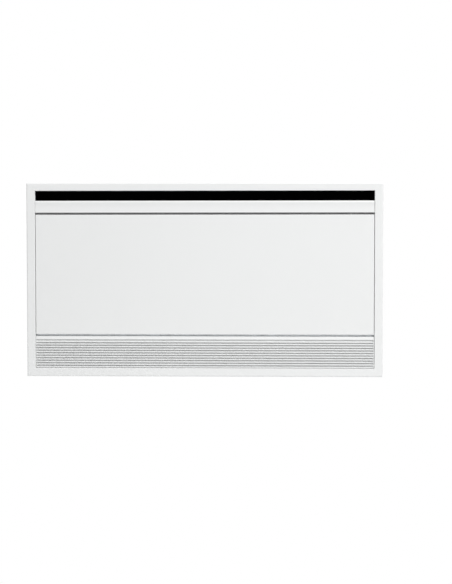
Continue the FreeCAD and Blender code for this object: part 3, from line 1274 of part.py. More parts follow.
def make_terminal_block():
    """The row of terminals at the foot of the board."""
    body = new_body("terminal_block")
    face = f"({BOARD_Y} + board_thick)"
    left = "(control_left + control_width * 0.22)"
    foot = f"({CONTROL_FOOT} + {CONTROL_HEIGHT} * 0.12)"
    length = "(control_width * 0.56)"
    pad(body, "XZ_Plane", [rect(left, f"{left} + {length}", foot, f"{foot} + 14")], "12", offset=face)
    way = pocket(body, "XZ_Plane",
                 [rect(f"{left} + {length} / 32", f"{left} + {length} * 3 / 32", f"{foot} + 4",
                                              f"{foot} + 10")], "8", offset=f"{face} + 12")
    repeat(body, [way], "X_Axis", f"{length} * 7 / 8", "8")
    return body


def make_cable_grommet():
    """A rubber bush in the right wall of the box for the supply cable."""
    body = new_body("cable_grommet")
    flange = "(grommet_radius + grommet_flange)"
    near, far = "(-box_sheet - grommet_flange)", "grommet_flange"
    section = [(near, "grommet_bore"), (far, "grommet_bore"), (far, flange), ("0", flange),
               ("0", "grommet_radius"),
               ("-box_sheet", "grommet_radius"), ("-box_sheet", flange), (near, flange)]
    revolve(body, "XY_Plane", [section], "X_Axis")
    bind(body, "Placement.Base.x", BOX_X)
    bind(body, "Placement.Base.y", "-grommet_set")
    bind(body, "Placement.Base.z", "-grommet_rise")
    return body


# Every sub-part, by its node's name

def make_parts():
    return [
        make_box_back(), make_box_side("box_left", -1), make_box_side("box_right", 1),
        make_box_end("box_top", 1), make_box_end("box_foot", -1),
        make_front_frame(), make_frame_clips(),
        make_outlet_flap(), make_pivot_pins("flap", f"({FLAP_END} - pin_hold)"), make_bushes("flap"),
        make_front_panel(), make_panel_stiffeners(), make_panel_insulation(), make_panel_studs(),
        make_rail("upper_rail"), make_rail("lower_rail"), make_panel_clips(),
        make_intake_grille(), make_pivot_pins("grille", GRILLE_X), make_bushes("grille"),
        make_grille_strikers(), make_grille_magnets(), make_filter_frame(), make_filter_mesh(),
        make_end_plate("end_plate_left"), make_end_plate("end_plate_right"), make_chassis_pads(),
        make_chassis_bolts(),
        make_outlet_plenum(), make_fan_scroll(), make_fan_tongue(),
        make_fan_impeller(), make_fan_shaft(), make_fan_bearing(), make_bearing_ring(),
        make_fan_motor(), make_motor_grommets(), make_motor_screws(),
        make_coil_fins(), make_tube_sheet("tube_sheet_left", "(-plate_left)", -1),
        make_tube_sheet("tube_sheet_right", "plate_right", 1),
        make_return_bends("return_bends_left", "-plate_left", -1),
        make_return_bends("return_bends_right", "plate_right", 1),
        make_header("supply_header", f"(-{LAST_TUBE})"), make_header("return_header", LAST_TUBE),
        make_union("supply_union", f"(-{LAST_TUBE})"), make_union("return_union", LAST_TUBE),
        make_air_vent(), make_vent_knob(),
        make_drip_tray(), make_drain_spigot(), make_tray_brackets(),
        make_control_box(), make_control_cover(), make_cover_screws(), make_circuit_board(),
        make_terminal_block(),
        make_motor_lead(),
        make_cable_grommet(),
    ]


def check(parts):
    doc.recompute()
    bad = [thing.Name for thing in doc.Objects if {"Invalid", "Error"} & set(thing.State)]
    for part in parts:
        if part.Shape.isNull() or not part.Shape.isValid() or not part.Shape.Solids:
            bad.append(part.Label)
    if bad:
        raise RuntimeError(f"failed: {bad}")


def main():
    parts = make_parts()
    check(parts)
    os.makedirs("parts", exist_ok=True)
    for part in parts:
        part.Shape.exportStep(f"parts/{part.Label}.step")
        print(part.Label, len(part.Shape.Solids), round(part.Shape.Volume / 1000, 2))


main()
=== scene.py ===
import json
import math

import bpy
from mathutils import Matrix, Vector


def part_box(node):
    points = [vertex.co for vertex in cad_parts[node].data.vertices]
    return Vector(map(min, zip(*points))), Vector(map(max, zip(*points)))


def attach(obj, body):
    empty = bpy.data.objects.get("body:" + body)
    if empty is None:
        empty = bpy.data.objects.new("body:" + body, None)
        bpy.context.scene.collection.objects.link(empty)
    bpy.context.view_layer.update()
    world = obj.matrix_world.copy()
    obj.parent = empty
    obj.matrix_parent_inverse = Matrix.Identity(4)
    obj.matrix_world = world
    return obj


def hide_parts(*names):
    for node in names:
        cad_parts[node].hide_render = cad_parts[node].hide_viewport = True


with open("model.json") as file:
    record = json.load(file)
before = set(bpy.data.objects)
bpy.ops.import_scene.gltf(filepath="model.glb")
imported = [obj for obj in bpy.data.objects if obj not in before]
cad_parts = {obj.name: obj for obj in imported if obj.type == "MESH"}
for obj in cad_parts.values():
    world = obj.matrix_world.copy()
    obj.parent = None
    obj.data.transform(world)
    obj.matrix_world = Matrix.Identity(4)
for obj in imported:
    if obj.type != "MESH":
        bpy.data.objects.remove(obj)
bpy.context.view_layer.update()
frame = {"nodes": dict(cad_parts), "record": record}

NODES = frame["nodes"]

# Kinds of socket in a node group
VECTOR = "NodeSocketVector"
COLOUR = "NodeSocketColor"
FLOAT = "NodeSocketFloat"

# Places of the sockets of a mix node: its share, the two it mixes, and its result
MIX_SHARE = 0
FLOAT_FIRST, FLOAT_SECOND, FLOAT_RESULT = 2, 3, 0
COLOUR_FIRST, COLOUR_SECOND, COLOUR_RESULT = 6, 7, 2


# Node building

def new_material(name):
    """An empty node material with its shader and output joined."""
    material = bpy.data.materials.new(name)
    material.use_nodes = True
    tree = material.node_tree
    tree.nodes.clear()
    shader = tree.nodes.new("ShaderNodeBsdfPrincipled")
    output = tree.nodes.new("ShaderNodeOutputMaterial")
    tree.links.new(shader.outputs["BSDF"], output.inputs["Surface"])
    return material, tree, shader


def add(tree, kind, **settings):
    """A node with its properties set; its sockets are set or linked from a dict called ins."""
    ins = settings.pop("ins", {})
    node = tree.nodes.new(kind)
    for key, setting in settings.items():
        setattr(node, key, setting)
    for key, setting in ins.items():
        if hasattr(setting, "is_output"):
            tree.links.new(setting, node.inputs[key])
        else:
            node.inputs[key].default_value = setting
    return node


def new_group(name, inputs, outputs):
    """A shader node group with named sockets, and the nodes for its two ends."""
    group = bpy.data.node_groups.new(name, "ShaderNodeTree")
    for label, kind, start in inputs:
        socket = group.interface.new_socket(label, in_out="INPUT", socket_type=kind)
        if start is not None:
            socket.default_value = start
    for label, kind in outputs:
        group.interface.new_socket(label, in_out="OUTPUT", socket_type=kind)
    return group, group.nodes.new("NodeGroupInput"), group.nodes.new("NodeGroupOutput")


def make_tone_drift():
    """A slow drift of brightness over a surface, as sheet and mouldings have."""
    group, begin, end = new_group(
        "tone_drift",
        [("Vector", VECTOR, None), ("Colour", COLOUR, (0.8, 0.8, 0.8, 1)),
         ("Scale", FLOAT, 4.0), ("Spread", FLOAT, 0.05)],
        [("Colour", COLOUR), ("Mask", FLOAT)])
    given = begin.outputs
    noise = add(group, "ShaderNodeTexNoise",
                ins={"Vector": given["Vector"], "Scale": given["Scale"], "Detail": 5.0, "Roughness": 0.55})
    centred = add(group, "ShaderNodeMath", operation="SUBTRACT", ins={0: noise.outputs["Fac"], 1: 0.5})
    swing = add(group, "ShaderNodeMath", operation="MULTIPLY_ADD",
                ins={0: centred.outputs[0], 1: given["Spread"], 2: 1.0})
    shaded = add(group, "ShaderNodeVectorMath", operation="SCALE",
                 ins={0: given["Colour"], "Scale": swing.outputs[0]})
    group.links.new(shaded.outputs[0], end.inputs["Colour"])
    group.links.new(noise.outputs["Fac"], end.inputs["Mask"])
    return group


def make_fine_grain():
    """Small lumps of two sizes for orange peel, moulded grain and foam skin."""
    group, begin, end = new_group(
        "fine_grain",
        [("Vector", VECTOR, None), ("Scale", FLOAT, 600.0), ("Mix", FLOAT, 0.4)],
        [("Height", FLOAT)])
    given = begin.outputs
    coarse = add(group, "ShaderNodeTexNoise",
                 ins={"Vector": given["Vector"], "Scale": given["Scale"], "Detail": 2.0, "Roughness": 0.4})
    finer = add(group, "ShaderNodeMath", operation="MULTIPLY", ins={0: given["Scale"], 1: 3.1})
    fine = add(group, "ShaderNodeTexNoise",
               ins={"Vector": given["Vector"], "Scale": finer.outputs[0], "Detail": 1.0})
    blend = add(group, "ShaderNodeMix", data_type="FLOAT",
                ins={MIX_SHARE: given["Mix"], FLOAT_FIRST: coarse.outputs["Fac"],
                     FLOAT_SECOND: fine.outputs["Fac"]})
    group.links.new(blend.outputs[FLOAT_RESULT], end.inputs["Height"])
    return group


def make_zinc_spangle():
    """The crystal patches of hot-dip galvanising."""
    group, begin, end = new_group(
        "zinc_spangle",
        [("Vector", VECTOR, None), ("Scale", FLOAT, 90.0)],
        [("Mask", FLOAT)])
    given = begin.outputs
    bend = add(group, "ShaderNodeTexNoise", ins={"Vector": given["Vector"], "Scale": 60.0, "Detail": 2.0})
    offset = add(group, "ShaderNodeVectorMath", operation="SCALE",
                 ins={0: bend.outputs["Color"], "Scale": 0.012})
    moved = add(group, "ShaderNodeVectorMath", operation="ADD",
                ins={0: given["Vector"], 1: offset.outputs[0]})
    cells = add(group, "ShaderNodeTexVoronoi", ins={"Vector": moved.outputs[0], "Scale": given["Scale"]})
    tone = add(group, "ShaderNodeSeparateColor", ins={"Color": cells.outputs["Color"]})
    group.links.new(tone.outputs[0], end.inputs["Mask"])
    return group


TONE_DRIFT = make_tone_drift()
FINE_GRAIN = make_fine_grain()
ZINC_SPANGLE = make_zinc_spangle()


def place(tree):
    """The place of a point on its own object, in metres."""
    return add(tree, "ShaderNodeTexCoord").outputs["Object"]


def drifted(tree, shader, where, colour, scale, spread):
    """Drives the shader's colour by a slow drift, and returns the drift's mask."""
    drift = add(tree, "ShaderNodeGroup", node_tree=TONE_DRIFT,
                ins={"Vector": where, "Colour": colour, "Scale": scale, "Spread": spread})
    tree.links.new(drift.outputs["Colour"], shader.inputs["Base Color"])
    return drift.outputs["Mask"]


def roughened(tree, shader, mask, low, high):
    """Varies the roughness between two values by a mask."""
    spread = add(tree, "ShaderNodeMapRange",
                 ins={"Value": mask, "From Min": 0.3, "From Max": 0.7, "To Min": low, "To Max": high})
    tree.links.new(spread.outputs["Result"], shader.inputs["Roughness"])


def bumped(tree, shader, height, depth, strength):
    """Raises the surface by a height; depth is in metres."""
    bump = add(tree, "ShaderNodeBump", ins={"Height": height, "Distance": depth, "Strength": strength})
    tree.links.new(bump.outputs["Normal"], shader.inputs["Normal"])


def grained(tree, shader, where, scale, depth):
    """A bump of fine grain."""
    grain = add(tree, "ShaderNodeGroup", node_tree=FINE_GRAIN,
                ins={"Vector": where, "Scale": scale, "Mix": 0.4})
    bumped(tree, shader, grain.outputs["Height"], depth, 1.0)


def two_tone(tree, mask, first, second):
    """A colour between two others, by a mask."""
    mix = add(tree, "ShaderNodeMix", data_type="RGBA",
              ins={MIX_SHARE: mask, COLOUR_FIRST: (*first, 1), COLOUR_SECOND: (*second, 1)})
    return mix.outputs[COLOUR_RESULT]


# Finishes: a low and a high roughness, scales in lumps per metre, depths in metres

def make_powder_coat(name, colour, low, high, shine=0.45, peel=420.0, depth=0.00003):
    """Satin powder coat: nearly even colour with a faint orange peel."""
    material, tree, shader = new_material(name)
    where = place(tree)
    mask = drifted(tree, shader, where, (*colour, 1), 2.2, 0.02)
    roughened(tree, shader, mask, low, high)
    grained(tree, shader, where, peel, depth)
    shader.inputs["Specular IOR Level"].default_value = shine
    return material


def make_metal(name, colour, low, high, spread=0.10, scale=14.0, grain=900.0, depth=0.00002):
    """Bare metal with a drift of tone, as tube, sheet and plating have."""
    material, tree, shader = new_material(name)
    where = place(tree)
    mask = drifted(tree, shader, where, (*colour, 1), scale, spread)
    roughened(tree, shader, mask, low, high)
    grained(tree, shader, where, grain, depth)
    shader.inputs["Metallic"].default_value = 1.0
    return material


def make_galvanised(name, dark, pale, low, high, patches=85.0, grain=300.0, depth=0.00002):
    """Zinc sheet: patches that differ in brightness and gloss."""
    material, tree, shader = new_material(name)
    where = place(tree)
    spangle = add(tree, "ShaderNodeGroup", node_tree=ZINC_SPANGLE, ins={"Vector": where, "Scale": patches})
    tone = two_tone(tree, spangle.outputs["Mask"], dark, pale)
    drifted(tree, shader, where, tone, 3.0, 0.25)
    roughened(tree, shader, spangle.outputs["Mask"], low, high)
    grained(tree, shader, where, grain, depth)
    shader.inputs["Metallic"].default_value = 1.0
    return material


def make_plastic(name, colour, low, high, grain=700.0, depth=0.00004, spread=0.06):
    """Moulded plastic, rubber or foam with a fine grain."""
    material, tree, shader = new_material(name)
    where = place(tree)
    mask = drifted(tree, shader, where, (*colour, 1), 9.0, spread)
    roughened(tree, shader, mask, low, high)
    grained(tree, shader, where, grain, depth)
    return material


def make_bead_foam(name, joint_colour, colour, roughness=0.75, beads=260.0, depth=0.0003):
    """Moulded bead foam: packed round cells with dark joints between them."""
    material, tree, shader = new_material(name)
    cells = add(tree, "ShaderNodeTexVoronoi", feature="DISTANCE_TO_EDGE",
                ins={"Vector": place(tree), "Scale": beads})
    joint = add(tree, "ShaderNodeMapRange",
                ins={"Value": cells.outputs["Distance"], "From Min": 0.0, "From Max": 0.12})
    tone = two_tone(tree, joint.outputs["Result"], joint_colour, colour)
    tree.links.new(tone, shader.inputs["Base Color"])
    bumped(tree, shader, joint.outputs["Result"], depth, 0.6)
    shader.inputs["Roughness"].default_value = roughness
    return material


def make_laminate(name, dark, pale, roughness=0.35, areas=120.0, depth=0.00005):
    """A board's laminate, in two tones under the lacquer."""
    material, tree, shader = new_material(name)
    cells = add(tree, "ShaderNodeTexVoronoi", distance="MANHATTAN",
                ins={"Vector": place(tree), "Scale": areas})
    edge = add(tree, "ShaderNodeMapRange",
               ins={"Value": cells.outputs["Distance"], "From Min": 0.32, "From Max": 0.36})
    tone = two_tone(tree, edge.outputs["Result"], dark, pale)
    tree.links.new(tone, shader.inputs["Base Color"])
    bumped(tree, shader, edge.outputs["Result"], depth, 0.5)
    shader.inputs["Roughness"].default_value = roughness
    return material


# The finish of each slot in the record
MATERIALS = {
    "white_powder_coat": make_powder_coat("white_powder_coat", (0.851, 0.860, 0.858), 0.36, 0.44),
    "white_plastic": make_plastic("white_plastic", (0.80, 0.80, 0.79), 0.40, 0.52),
    "galvanised_steel": make_galvanised("galvanised_sheet", (0.50, 0.52, 0.54), (0.68, 0.70, 0.72),
                                        0.38, 0.56),
    # The rails' grey primer is a real finish, and its tone is also painted shade, set for the grey of the
    # shadow gap between flap and panel.
    "grey_primer": make_powder_coat("grey_primer", (0.66, 0.66, 0.665), 0.60, 0.75, shine=0.3),
    # The duct lining is black, and its near-zero brightness and shine are also painted shade that keeps the
    # deep outlet slot black.
    "black_duct": make_powder_coat("black_lining_painted_shade", (0.003, 0.003, 0.0036), 0.85, 0.95, shine=0.06),
    "moulding": make_bead_foam("bead_foam", (0.03, 0.03, 0.033), (0.085, 0.085, 0.09)),
    "fin_aluminium": make_metal("fin_aluminium", (0.80, 0.82, 0.84), 0.26, 0.40),
    "copper": make_metal("copper_tube", (0.74, 0.36, 0.21), 0.24, 0.45, spread=0.35, scale=40.0),
    "brass": make_metal("brass_fitting", (0.72, 0.55, 0.25), 0.24, 0.40, spread=0.18, scale=50.0),
    "zinc_fastener": make_metal("zinc_plate", (0.70, 0.70, 0.68), 0.24, 0.38),
    "magnet": make_plastic("ferrite", (0.05, 0.05, 0.055), 0.50, 0.65, grain=1500.0),
    "black_rubber": make_plastic("black_rubber", (0.020, 0.020, 0.021), 0.62, 0.80, grain=500.0),
    "impeller_plastic": make_plastic("impeller_plastic", (0.045, 0.047, 0.05), 0.36, 0.50),
    "motor_resin": make_plastic("motor_resin", (0.66, 0.64, 0.58), 0.42, 0.58, spread=0.12),
    "grey_plastic": make_plastic("grey_plastic", (0.36, 0.37, 0.38), 0.42, 0.55),
    "nylon": make_plastic("natural_nylon", (0.72, 0.71, 0.65), 0.38, 0.50),
    "foam_sheet": make_plastic("foam_sheet", (0.085, 0.085, 0.09), 0.80, 0.92, grain=420.0, depth=0.0002),
    "filter_net": make_plastic("net_thread", (0.10, 0.105, 0.11), 0.40, 0.55, grain=2500.0, depth=0.00001),
    "board": make_laminate("circuit_laminate", (0.03, 0.20, 0.07), (0.05, 0.30, 0.11)),
    "terminals": make_plastic("terminal_green", (0.05, 0.22, 0.09), 0.38, 0.50),
}


def dress_cad_nodes():
    """Gives every node of the frame the finish of its slot."""
    for entry in frame["record"]["subparts"]:
        mesh = NODES[entry["node"]].data
        mesh.materials.clear()
        mesh.materials.append(MATERIALS[entry["material_slot"]])


# Modelling helpers

X, Y, Z = 0, 1, 2
ALONG_X = (0, math.radians(90), 0)
ALONG_Y = (math.radians(90), 0, 0)
ALONG_Z = (0, 0, 0)

# How nearly a face looks along an axis, how close points meet, and how far trim sinks into its seat
FACING = 0.9
MEETING = 1e-6
SINK = 0.0002


def start_fresh():
    """Goes to object mode with nothing selected."""
    if bpy.context.object and bpy.context.object.mode != "OBJECT":
        bpy.ops.object.mode_set(mode="OBJECT")
    bpy.ops.object.select_all(action="DESELECT")


def pick(piece):
    """Selects one piece alone and makes it the active one."""
    start_fresh()
    piece.select_set(True)
    bpy.context.view_layer.objects.active = piece


def settle():
    """Puts the place, turn and size of what is selected into its mesh."""
    bpy.ops.object.transform_apply(location=True, rotation=True, scale=True)


def smooth(angle):
    """Shades what is selected smooth, apart from edges sharper than an angle in degrees."""
    bpy.ops.object.shade_smooth_by_angle(angle=math.radians(angle))


def finish_piece(piece, name, slot, body, *nodes):
    """Names a piece, settles its place into its mesh, and ties it to its body and slot."""
    piece.name = name
    piece.data.name = name
    pick(piece)
    settle()
    piece.data.materials.clear()
    piece.data.materials.append(MATERIALS[slot])
    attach(piece, body)
    if nodes:
        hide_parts(*nodes)
    return piece


def apply_all(piece):
    """Applies a piece's modifiers in their order."""
    pick(piece)
    for modifier in list(piece.modifiers):
        bpy.ops.object.modifier_apply(modifier=modifier.name)


def join(pieces):
    """Makes several pieces one mesh, in the first of them."""
    start_fresh()
    for piece in pieces:
        piece.select_set(True)
    bpy.context.view_layer.objects.active = pieces[0]
    bpy.ops.object.join()
    return pieces[0]


def copy_of(piece):
    """A copy of a piece with its own mesh, left active."""
    pick(piece)
    bpy.ops.object.duplicate(linked=False)
    return bpy.context.object


def copy_to(piece, places):
    """Sets a copy of a piece, with its own mesh, at every place, and joins them in place of the piece."""
    pieces = []
    for spot in places:
        pieces.append(copy_of(piece))
        pieces[-1].location = spot
    bpy.data.objects.remove(piece)
    whole = join(pieces)
    settle()
    return whole


def repeat_along(piece, step, count):
    """Repeats a piece in a row, and applies its modifiers."""
    row = piece.modifiers.new("row", "ARRAY")
    row.use_relative_offset = False
    row.use_constant_offset = True
    row.constant_offset_displace = step
    row.count = count
    apply_all(piece)


def round_edges(piece, width, segments=2):
    """Rounds a piece's sharp edges."""
    rounded = piece.modifiers.new("rounded", "BEVEL")
    rounded.width = width
    rounded.segments = segments
    rounded.limit_method = "ANGLE"
    apply_all(piece)


def add_rod(sides, radius, length, turn):
    """A rod round the origin, ready to be worked on."""
    start_fresh()
    bpy.ops.mesh.primitive_cylinder_add(vertices=sides, radius=radius, depth=length, rotation=turn)
    settle()
    return bpy.context.object


def add_block(size):
    """A block round the origin, ready to be worked on."""
    start_fresh()
    bpy.ops.mesh.primitive_cube_add(size=1)
    bpy.context.object.scale = size
    settle()
    return bpy.context.object


def clear_selection(kind):
    """Deselects a piece's whole mesh, set to select points, edges or faces."""
    bpy.ops.object.mode_set(mode="EDIT")
    bpy.ops.mesh.select_mode(type=kind)
    bpy.ops.mesh.select_all(action="DESELECT")
    bpy.ops.object.mode_set(mode="OBJECT")


def select_faces(piece, axis, side):
    """Selects the faces that look one way along an axis, and goes into edit mode."""
    clear_selection("FACE")
    for face in piece.data.polygons:
        face.select = face.normal[axis] * side > FACING
    bpy.ops.object.mode_set(mode="EDIT")


def select_points(piece, wanted):
    """Selects the points whose place passes a test, and goes into edit mode."""
    clear_selection("VERT")
    for vertex in piece.data.vertices:
        vertex.select = wanted(vertex.co)
    bpy.ops.object.mode_set(mode="EDIT")


def along(axis, length):
    """A step of some length along one axis."""
    step = [0, 0, 0]
    step[axis] = length
    return step


def draw_out(axis, length):
    """Extrudes the selected faces along an axis."""
    bpy.ops.mesh.extrude_region_move(TRANSFORM_OT_translate={"value": along(axis, length)})


def close_mesh(most_sides):
    """In edit mode, merges points that meet, fills open ends and turns the normals outwards."""
    bpy.ops.mesh.select_all(action="SELECT")
    bpy.ops.mesh.remove_doubles(threshold=MEETING)
    bpy.ops.mesh.fill_holes(sides=most_sides)
    bpy.ops.mesh.normals_make_consistent(inside=False)


# The coil leans with its top towards the room

COIL_TILT = math.radians(15)
COIL_DEPTH = 0.044
FIN_LOW, FIN_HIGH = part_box("coil_fins")
COIL_MIDDLE = (FIN_LOW + FIN_HIGH) / 2
COIL_HEIGHT = (FIN_HIGH.z - FIN_LOW.z - COIL_DEPTH * math.sin(COIL_TILT)) / math.cos(COIL_TILT)
COIL_LENGTH = FIN_HIGH.x - FIN_LOW.x
LEAN = Matrix.Translation(COIL_MIDDLE) @ Matrix.Rotation(COIL_TILT, 4, "X")

FIN_PITCH = 0.0021
FIN_WALL = 0.00018
FIN_FOLDS = 8
FIN_FOLD_DEPTH = 0.0006
FIN_END_ROOM = 0.001

ROW_PITCH = 0.022
TUBE_ROWS = (-ROW_PITCH / 2, ROW_PITCH / 2)
TUBE_PITCH = 0.025
TUBE_SIDES = 14
TUBE_RADIUS = 0.00475
TUBE_FIT = 0.94
TUBE_BELL = 0.004
TUBE_WALL = 0.0006

BEND_SIDES = 16
BEND_STEPS = 14
COLLAR_RADIUS = 0.0056
COLLAR_LENGTH = 0.0035

UNION_RADIUS = 0.0131
RIDGE_SIDES = 3
RIDGE_HEIGHT = 0.0006
RIDGE_PITCH = 0.0018
RIDGE_TURNS = 5
RIDGE_STEPS = 24


def lean(piece):
    """Puts a piece that was modelled upright round the origin into the leaning coil."""
    piece.matrix_world = LEAN @ piece.matrix_world


def middle_along_x(piece):
    """Half way between the ends of a piece's mesh."""
    places = [vertex.co.x for vertex in piece.data.vertices]
    return (max(places) + min(places)) / 2


def make_fin_pack():
    """Hundreds of thin corrugated fins, modelled once and repeated along the coil."""
    start_fresh()
    bpy.ops.mesh.primitive_plane_add(size=1, rotation=ALONG_X)
    fin = bpy.context.object
    fin.scale = (COIL_HEIGHT, COIL_DEPTH, 1)
    settle()
    clear_selection("EDGE")
    for edge in fin.data.edges:
        ends = [fin.data.vertices[i].co for i in edge.vertices]
        edge.select = abs(ends[0].y - ends[1].y) > COIL_DEPTH / 2
    bpy.ops.object.mode_set(mode="EDIT")
    bpy.ops.mesh.subdivide(number_cuts=FIN_FOLDS - 1)
    fold = COIL_DEPTH / FIN_FOLDS
    select_points(fin, lambda spot: round((spot.y + COIL_DEPTH / 2) / fold) % 2 == 1)
    bpy.ops.transform.translate(value=(FIN_FOLD_DEPTH, 0, 0))
    bpy.ops.object.mode_set(mode="OBJECT")
    wall = fin.modifiers.new("wall", "SOLIDIFY")
    wall.thickness = FIN_WALL
    repeat_along(fin, (FIN_PITCH, 0, 0), int((COIL_LENGTH - FIN_END_ROOM) / FIN_PITCH))
    fin.location.x = -middle_along_x(fin)
    bpy.context.view_layer.update()
    lean(fin)
    return finish_piece(fin, "fin_pack", "fin_aluminium", "chassis", "coil_fins")


def tube_levels():
    """The heights of the tubes in one row, from the coil's middle."""
    count = round(COIL_HEIGHT // TUBE_PITCH)
    return [(i - (count - 1) / 2) * TUBE_PITCH for i in range(count)]


def make_coil_tubes():
    """The straight copper tubes that the fins sit on, each with belled and bored ends."""
    tube = add_rod(TUBE_SIDES, TUBE_RADIUS * TUBE_FIT, COIL_LENGTH - 2 * TUBE_BELL, ALONG_X)
    for side in (-1, 1):
        select_faces(tube, X, side)
        draw_out(X, side * TUBE_BELL)
        bpy.ops.transform.resize(value=(1, 1 / TUBE_FIT, 1 / TUBE_FIT))
        bpy.ops.mesh.inset(thickness=TUBE_WALL)
        draw_out(X, -side * TUBE_BELL)
        bpy.ops.object.mode_set(mode="OBJECT")
    smooth(50)
    tubes = copy_to(tube, [(0, row, level) for row in TUBE_ROWS for level in tube_levels()])
    lean(tubes)
    return finish_piece(tubes, "coil_tubes", "copper", "chassis")


def make_half_turn(side):
    """A half turn of round tube, spun from a ring."""
    start_fresh()
    bpy.ops.mesh.primitive_circle_add(vertices=BEND_SIDES, radius=TUBE_RADIUS,
                                      location=(0, 0, -TUBE_PITCH / 2), rotation=ALONG_X)
    bend = bpy.context.object
    settle()
    bpy.ops.object.mode_set(mode="EDIT")
    bpy.ops.mesh.select_all(action="SELECT")
    bpy.ops.mesh.spin(steps=BEND_STEPS, angle=math.radians(180 * side), center=(0, 0, 0), axis=(0, 1, 0))
    close_mesh(BEND_SIDES)
    bpy.ops.mesh.faces_shade_smooth()
    bpy.ops.object.mode_set(mode="OBJECT")
    return bend


def make_collars(side):
    """The two solder collars of a bend, each tapered towards it."""
    collar = add_rod(BEND_SIDES, COLLAR_RADIUS, COLLAR_LENGTH, ALONG_X)
    select_faces(collar, X, side)
    taper = TUBE_RADIUS / COLLAR_RADIUS
    bpy.ops.transform.resize(value=(1, taper, taper))
    bpy.ops.object.mode_set(mode="OBJECT")
    smooth(40)
    return copy_to(collar, [(side * COLLAR_LENGTH / 2, 0, end * TUBE_PITCH / 2) for end in (-1, 1)])


def make_bends(name, node, side):
    """All the return bends at one end of the coil; the left ones start one tube higher."""
    levels = tube_levels()
    first = 0 if side > 0 else 1
    low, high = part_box(node)
    x = (low.x if side > 0 else high.x) - COIL_MIDDLE.x
    places = [(x, row, (levels[i] + levels[i + 1]) / 2)
              for row in TUBE_ROWS for i in range(first, len(levels) - 1, 2)]
    bend = make_half_turn(side)
    bends = copy_to(join([bend, make_collars(side)]), places)
    lean(bends)
    return finish_piece(bends, name, "copper", "chassis", node)


def make_screw_thread(name, node):
    """The raised thread on the outer end of a brass union, drawn as a ridge and screwed along."""
    low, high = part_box(node)
    middle = (low + high) / 2
    start_fresh()
    bpy.ops.mesh.primitive_circle_add(vertices=RIDGE_SIDES, radius=RIDGE_HEIGHT, fill_type="NGON",
                                      location=(0, 0, UNION_RADIUS), rotation=ALONG_Y)
    ridge = bpy.context.object
    settle()
    winding = ridge.modifiers.new("winding", "SCREW")
    winding.axis = "X"
    winding.screw_offset = RIDGE_PITCH
    winding.iterations = RIDGE_TURNS
    winding.steps = RIDGE_STEPS
    winding.render_steps = RIDGE_STEPS
    apply_all(ridge)
    bpy.ops.object.mode_set(mode="EDIT")
    close_mesh(RIDGE_SIDES)
    bpy.ops.object.mode_set(mode="OBJECT")
    ridge.location = (low.x + 2 * RIDGE_PITCH, middle.y, middle.z)
    return finish_piece(ridge, name, "brass", "chassis")


# The filter's net

THREAD_PITCH = 0.0026
THREAD_RADIUS = 0.00022
THREAD_SIDES = 6
THREAD_END = 2 * THREAD_RADIUS
THREAD_END_TAPER = 0.6
THREAD_OFFSET = 0.8 * THREAD_RADIUS


def make_one_thread(axis, length, turn):
    """One thread of the net: a thin strand with tapered ends."""
    thread = add_rod(THREAD_SIDES, THREAD_RADIUS, length - 2 * THREAD_END, turn)
    for side in (-1, 1):
        select_faces(thread, axis, side)
        draw_out(axis, side * THREAD_END)
        bpy.ops.transform.resize(value=(THREAD_END_TAPER, THREAD_END_TAPER, THREAD_END_TAPER))
        bpy.ops.object.mode_set(mode="OBJECT")
    smooth(70)
    return thread


def first_thread(low, size, count):
    """Where a row of threads starts so that it is centred in its space."""
    return low + (size - (count - 1) * THREAD_PITCH) / 2


def make_filter_net():
    """The filter's net: upright threads behind level ones."""
    low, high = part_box("filter_mesh")
    width, height = high.x - low.x, high.z - low.z
    middle = (low + high) / 2
    columns = int(width / THREAD_PITCH)
    upright = make_one_thread(Z, height, ALONG_Z)
    repeat_along(upright, along(X, THREAD_PITCH), columns)
    upright.location = (first_thread(low.x, width, columns), middle.y + THREAD_OFFSET, middle.z)
    rows = int(height / THREAD_PITCH)
    level = make_one_thread(X, width, ALONG_X)
    repeat_along(level, along(Z, THREAD_PITCH), rows)
    level.location = (middle.x, middle.y - THREAD_OFFSET, first_thread(low.z, height, rows))
    net = join([upright, level])
    return finish_piece(net, "filter_net", "filter_net", "grille", "filter_mesh")


# Foam behind the panel

FOAM_EDGE = 0.0015
FOAM_EDGE_SEGMENTS = 3
FOAM_FLAT = math.radians(2)
FOAM_STEP = 0.008
FOAM_DIP = 0.0040
FOAM_BACK = 0.0001
NEAR = 0.01


def slice_back(piece, axis, level):
    """Cuts the sheets' back faces along one line of the waffle."""
    select_faces(piece, Y, 1)
    bpy.ops.mesh.bisect(plane_co=along(axis, level), plane_no=along(axis, 1))
    bpy.ops.object.mode_set(mode="OBJECT")


def waffle_share(spot):
    """How deep the waffle is at a crossing of its lines: 0 on a peak, 1 in a dip, and 0 off the crossings."""
    column, row = spot.x / FOAM_STEP, spot.z / FOAM_STEP
    if max(abs(column - round(column)), abs(row - round(row))) > NEAR:
        return 0
    return (1 - math.cos(math.pi * round(column) / 2) * math.cos(math.pi * round(row) / 2)) / 2


def copy_node(node):
    """A free copy of a CAD node's mesh, with its points merged and its flat faces whole."""
    piece = NODES[node].copy()
    piece.data = piece.data.copy()
    piece.parent = None
    for key in list(piece.keys()):
        del piece[key]
    bpy.context.scene.collection.objects.link(piece)
    pick(piece)
    bpy.ops.mesh.customdata_custom_splitnormals_clear()
    bpy.ops.object.mode_set(mode="EDIT")
    bpy.ops.mesh.select_all(action="SELECT")
    bpy.ops.mesh.remove_doubles(threshold=MEETING)
    bpy.ops.mesh.dissolve_limited(angle_limit=FOAM_FLAT)
    bpy.ops.object.mode_set(mode="OBJECT")
    return piece


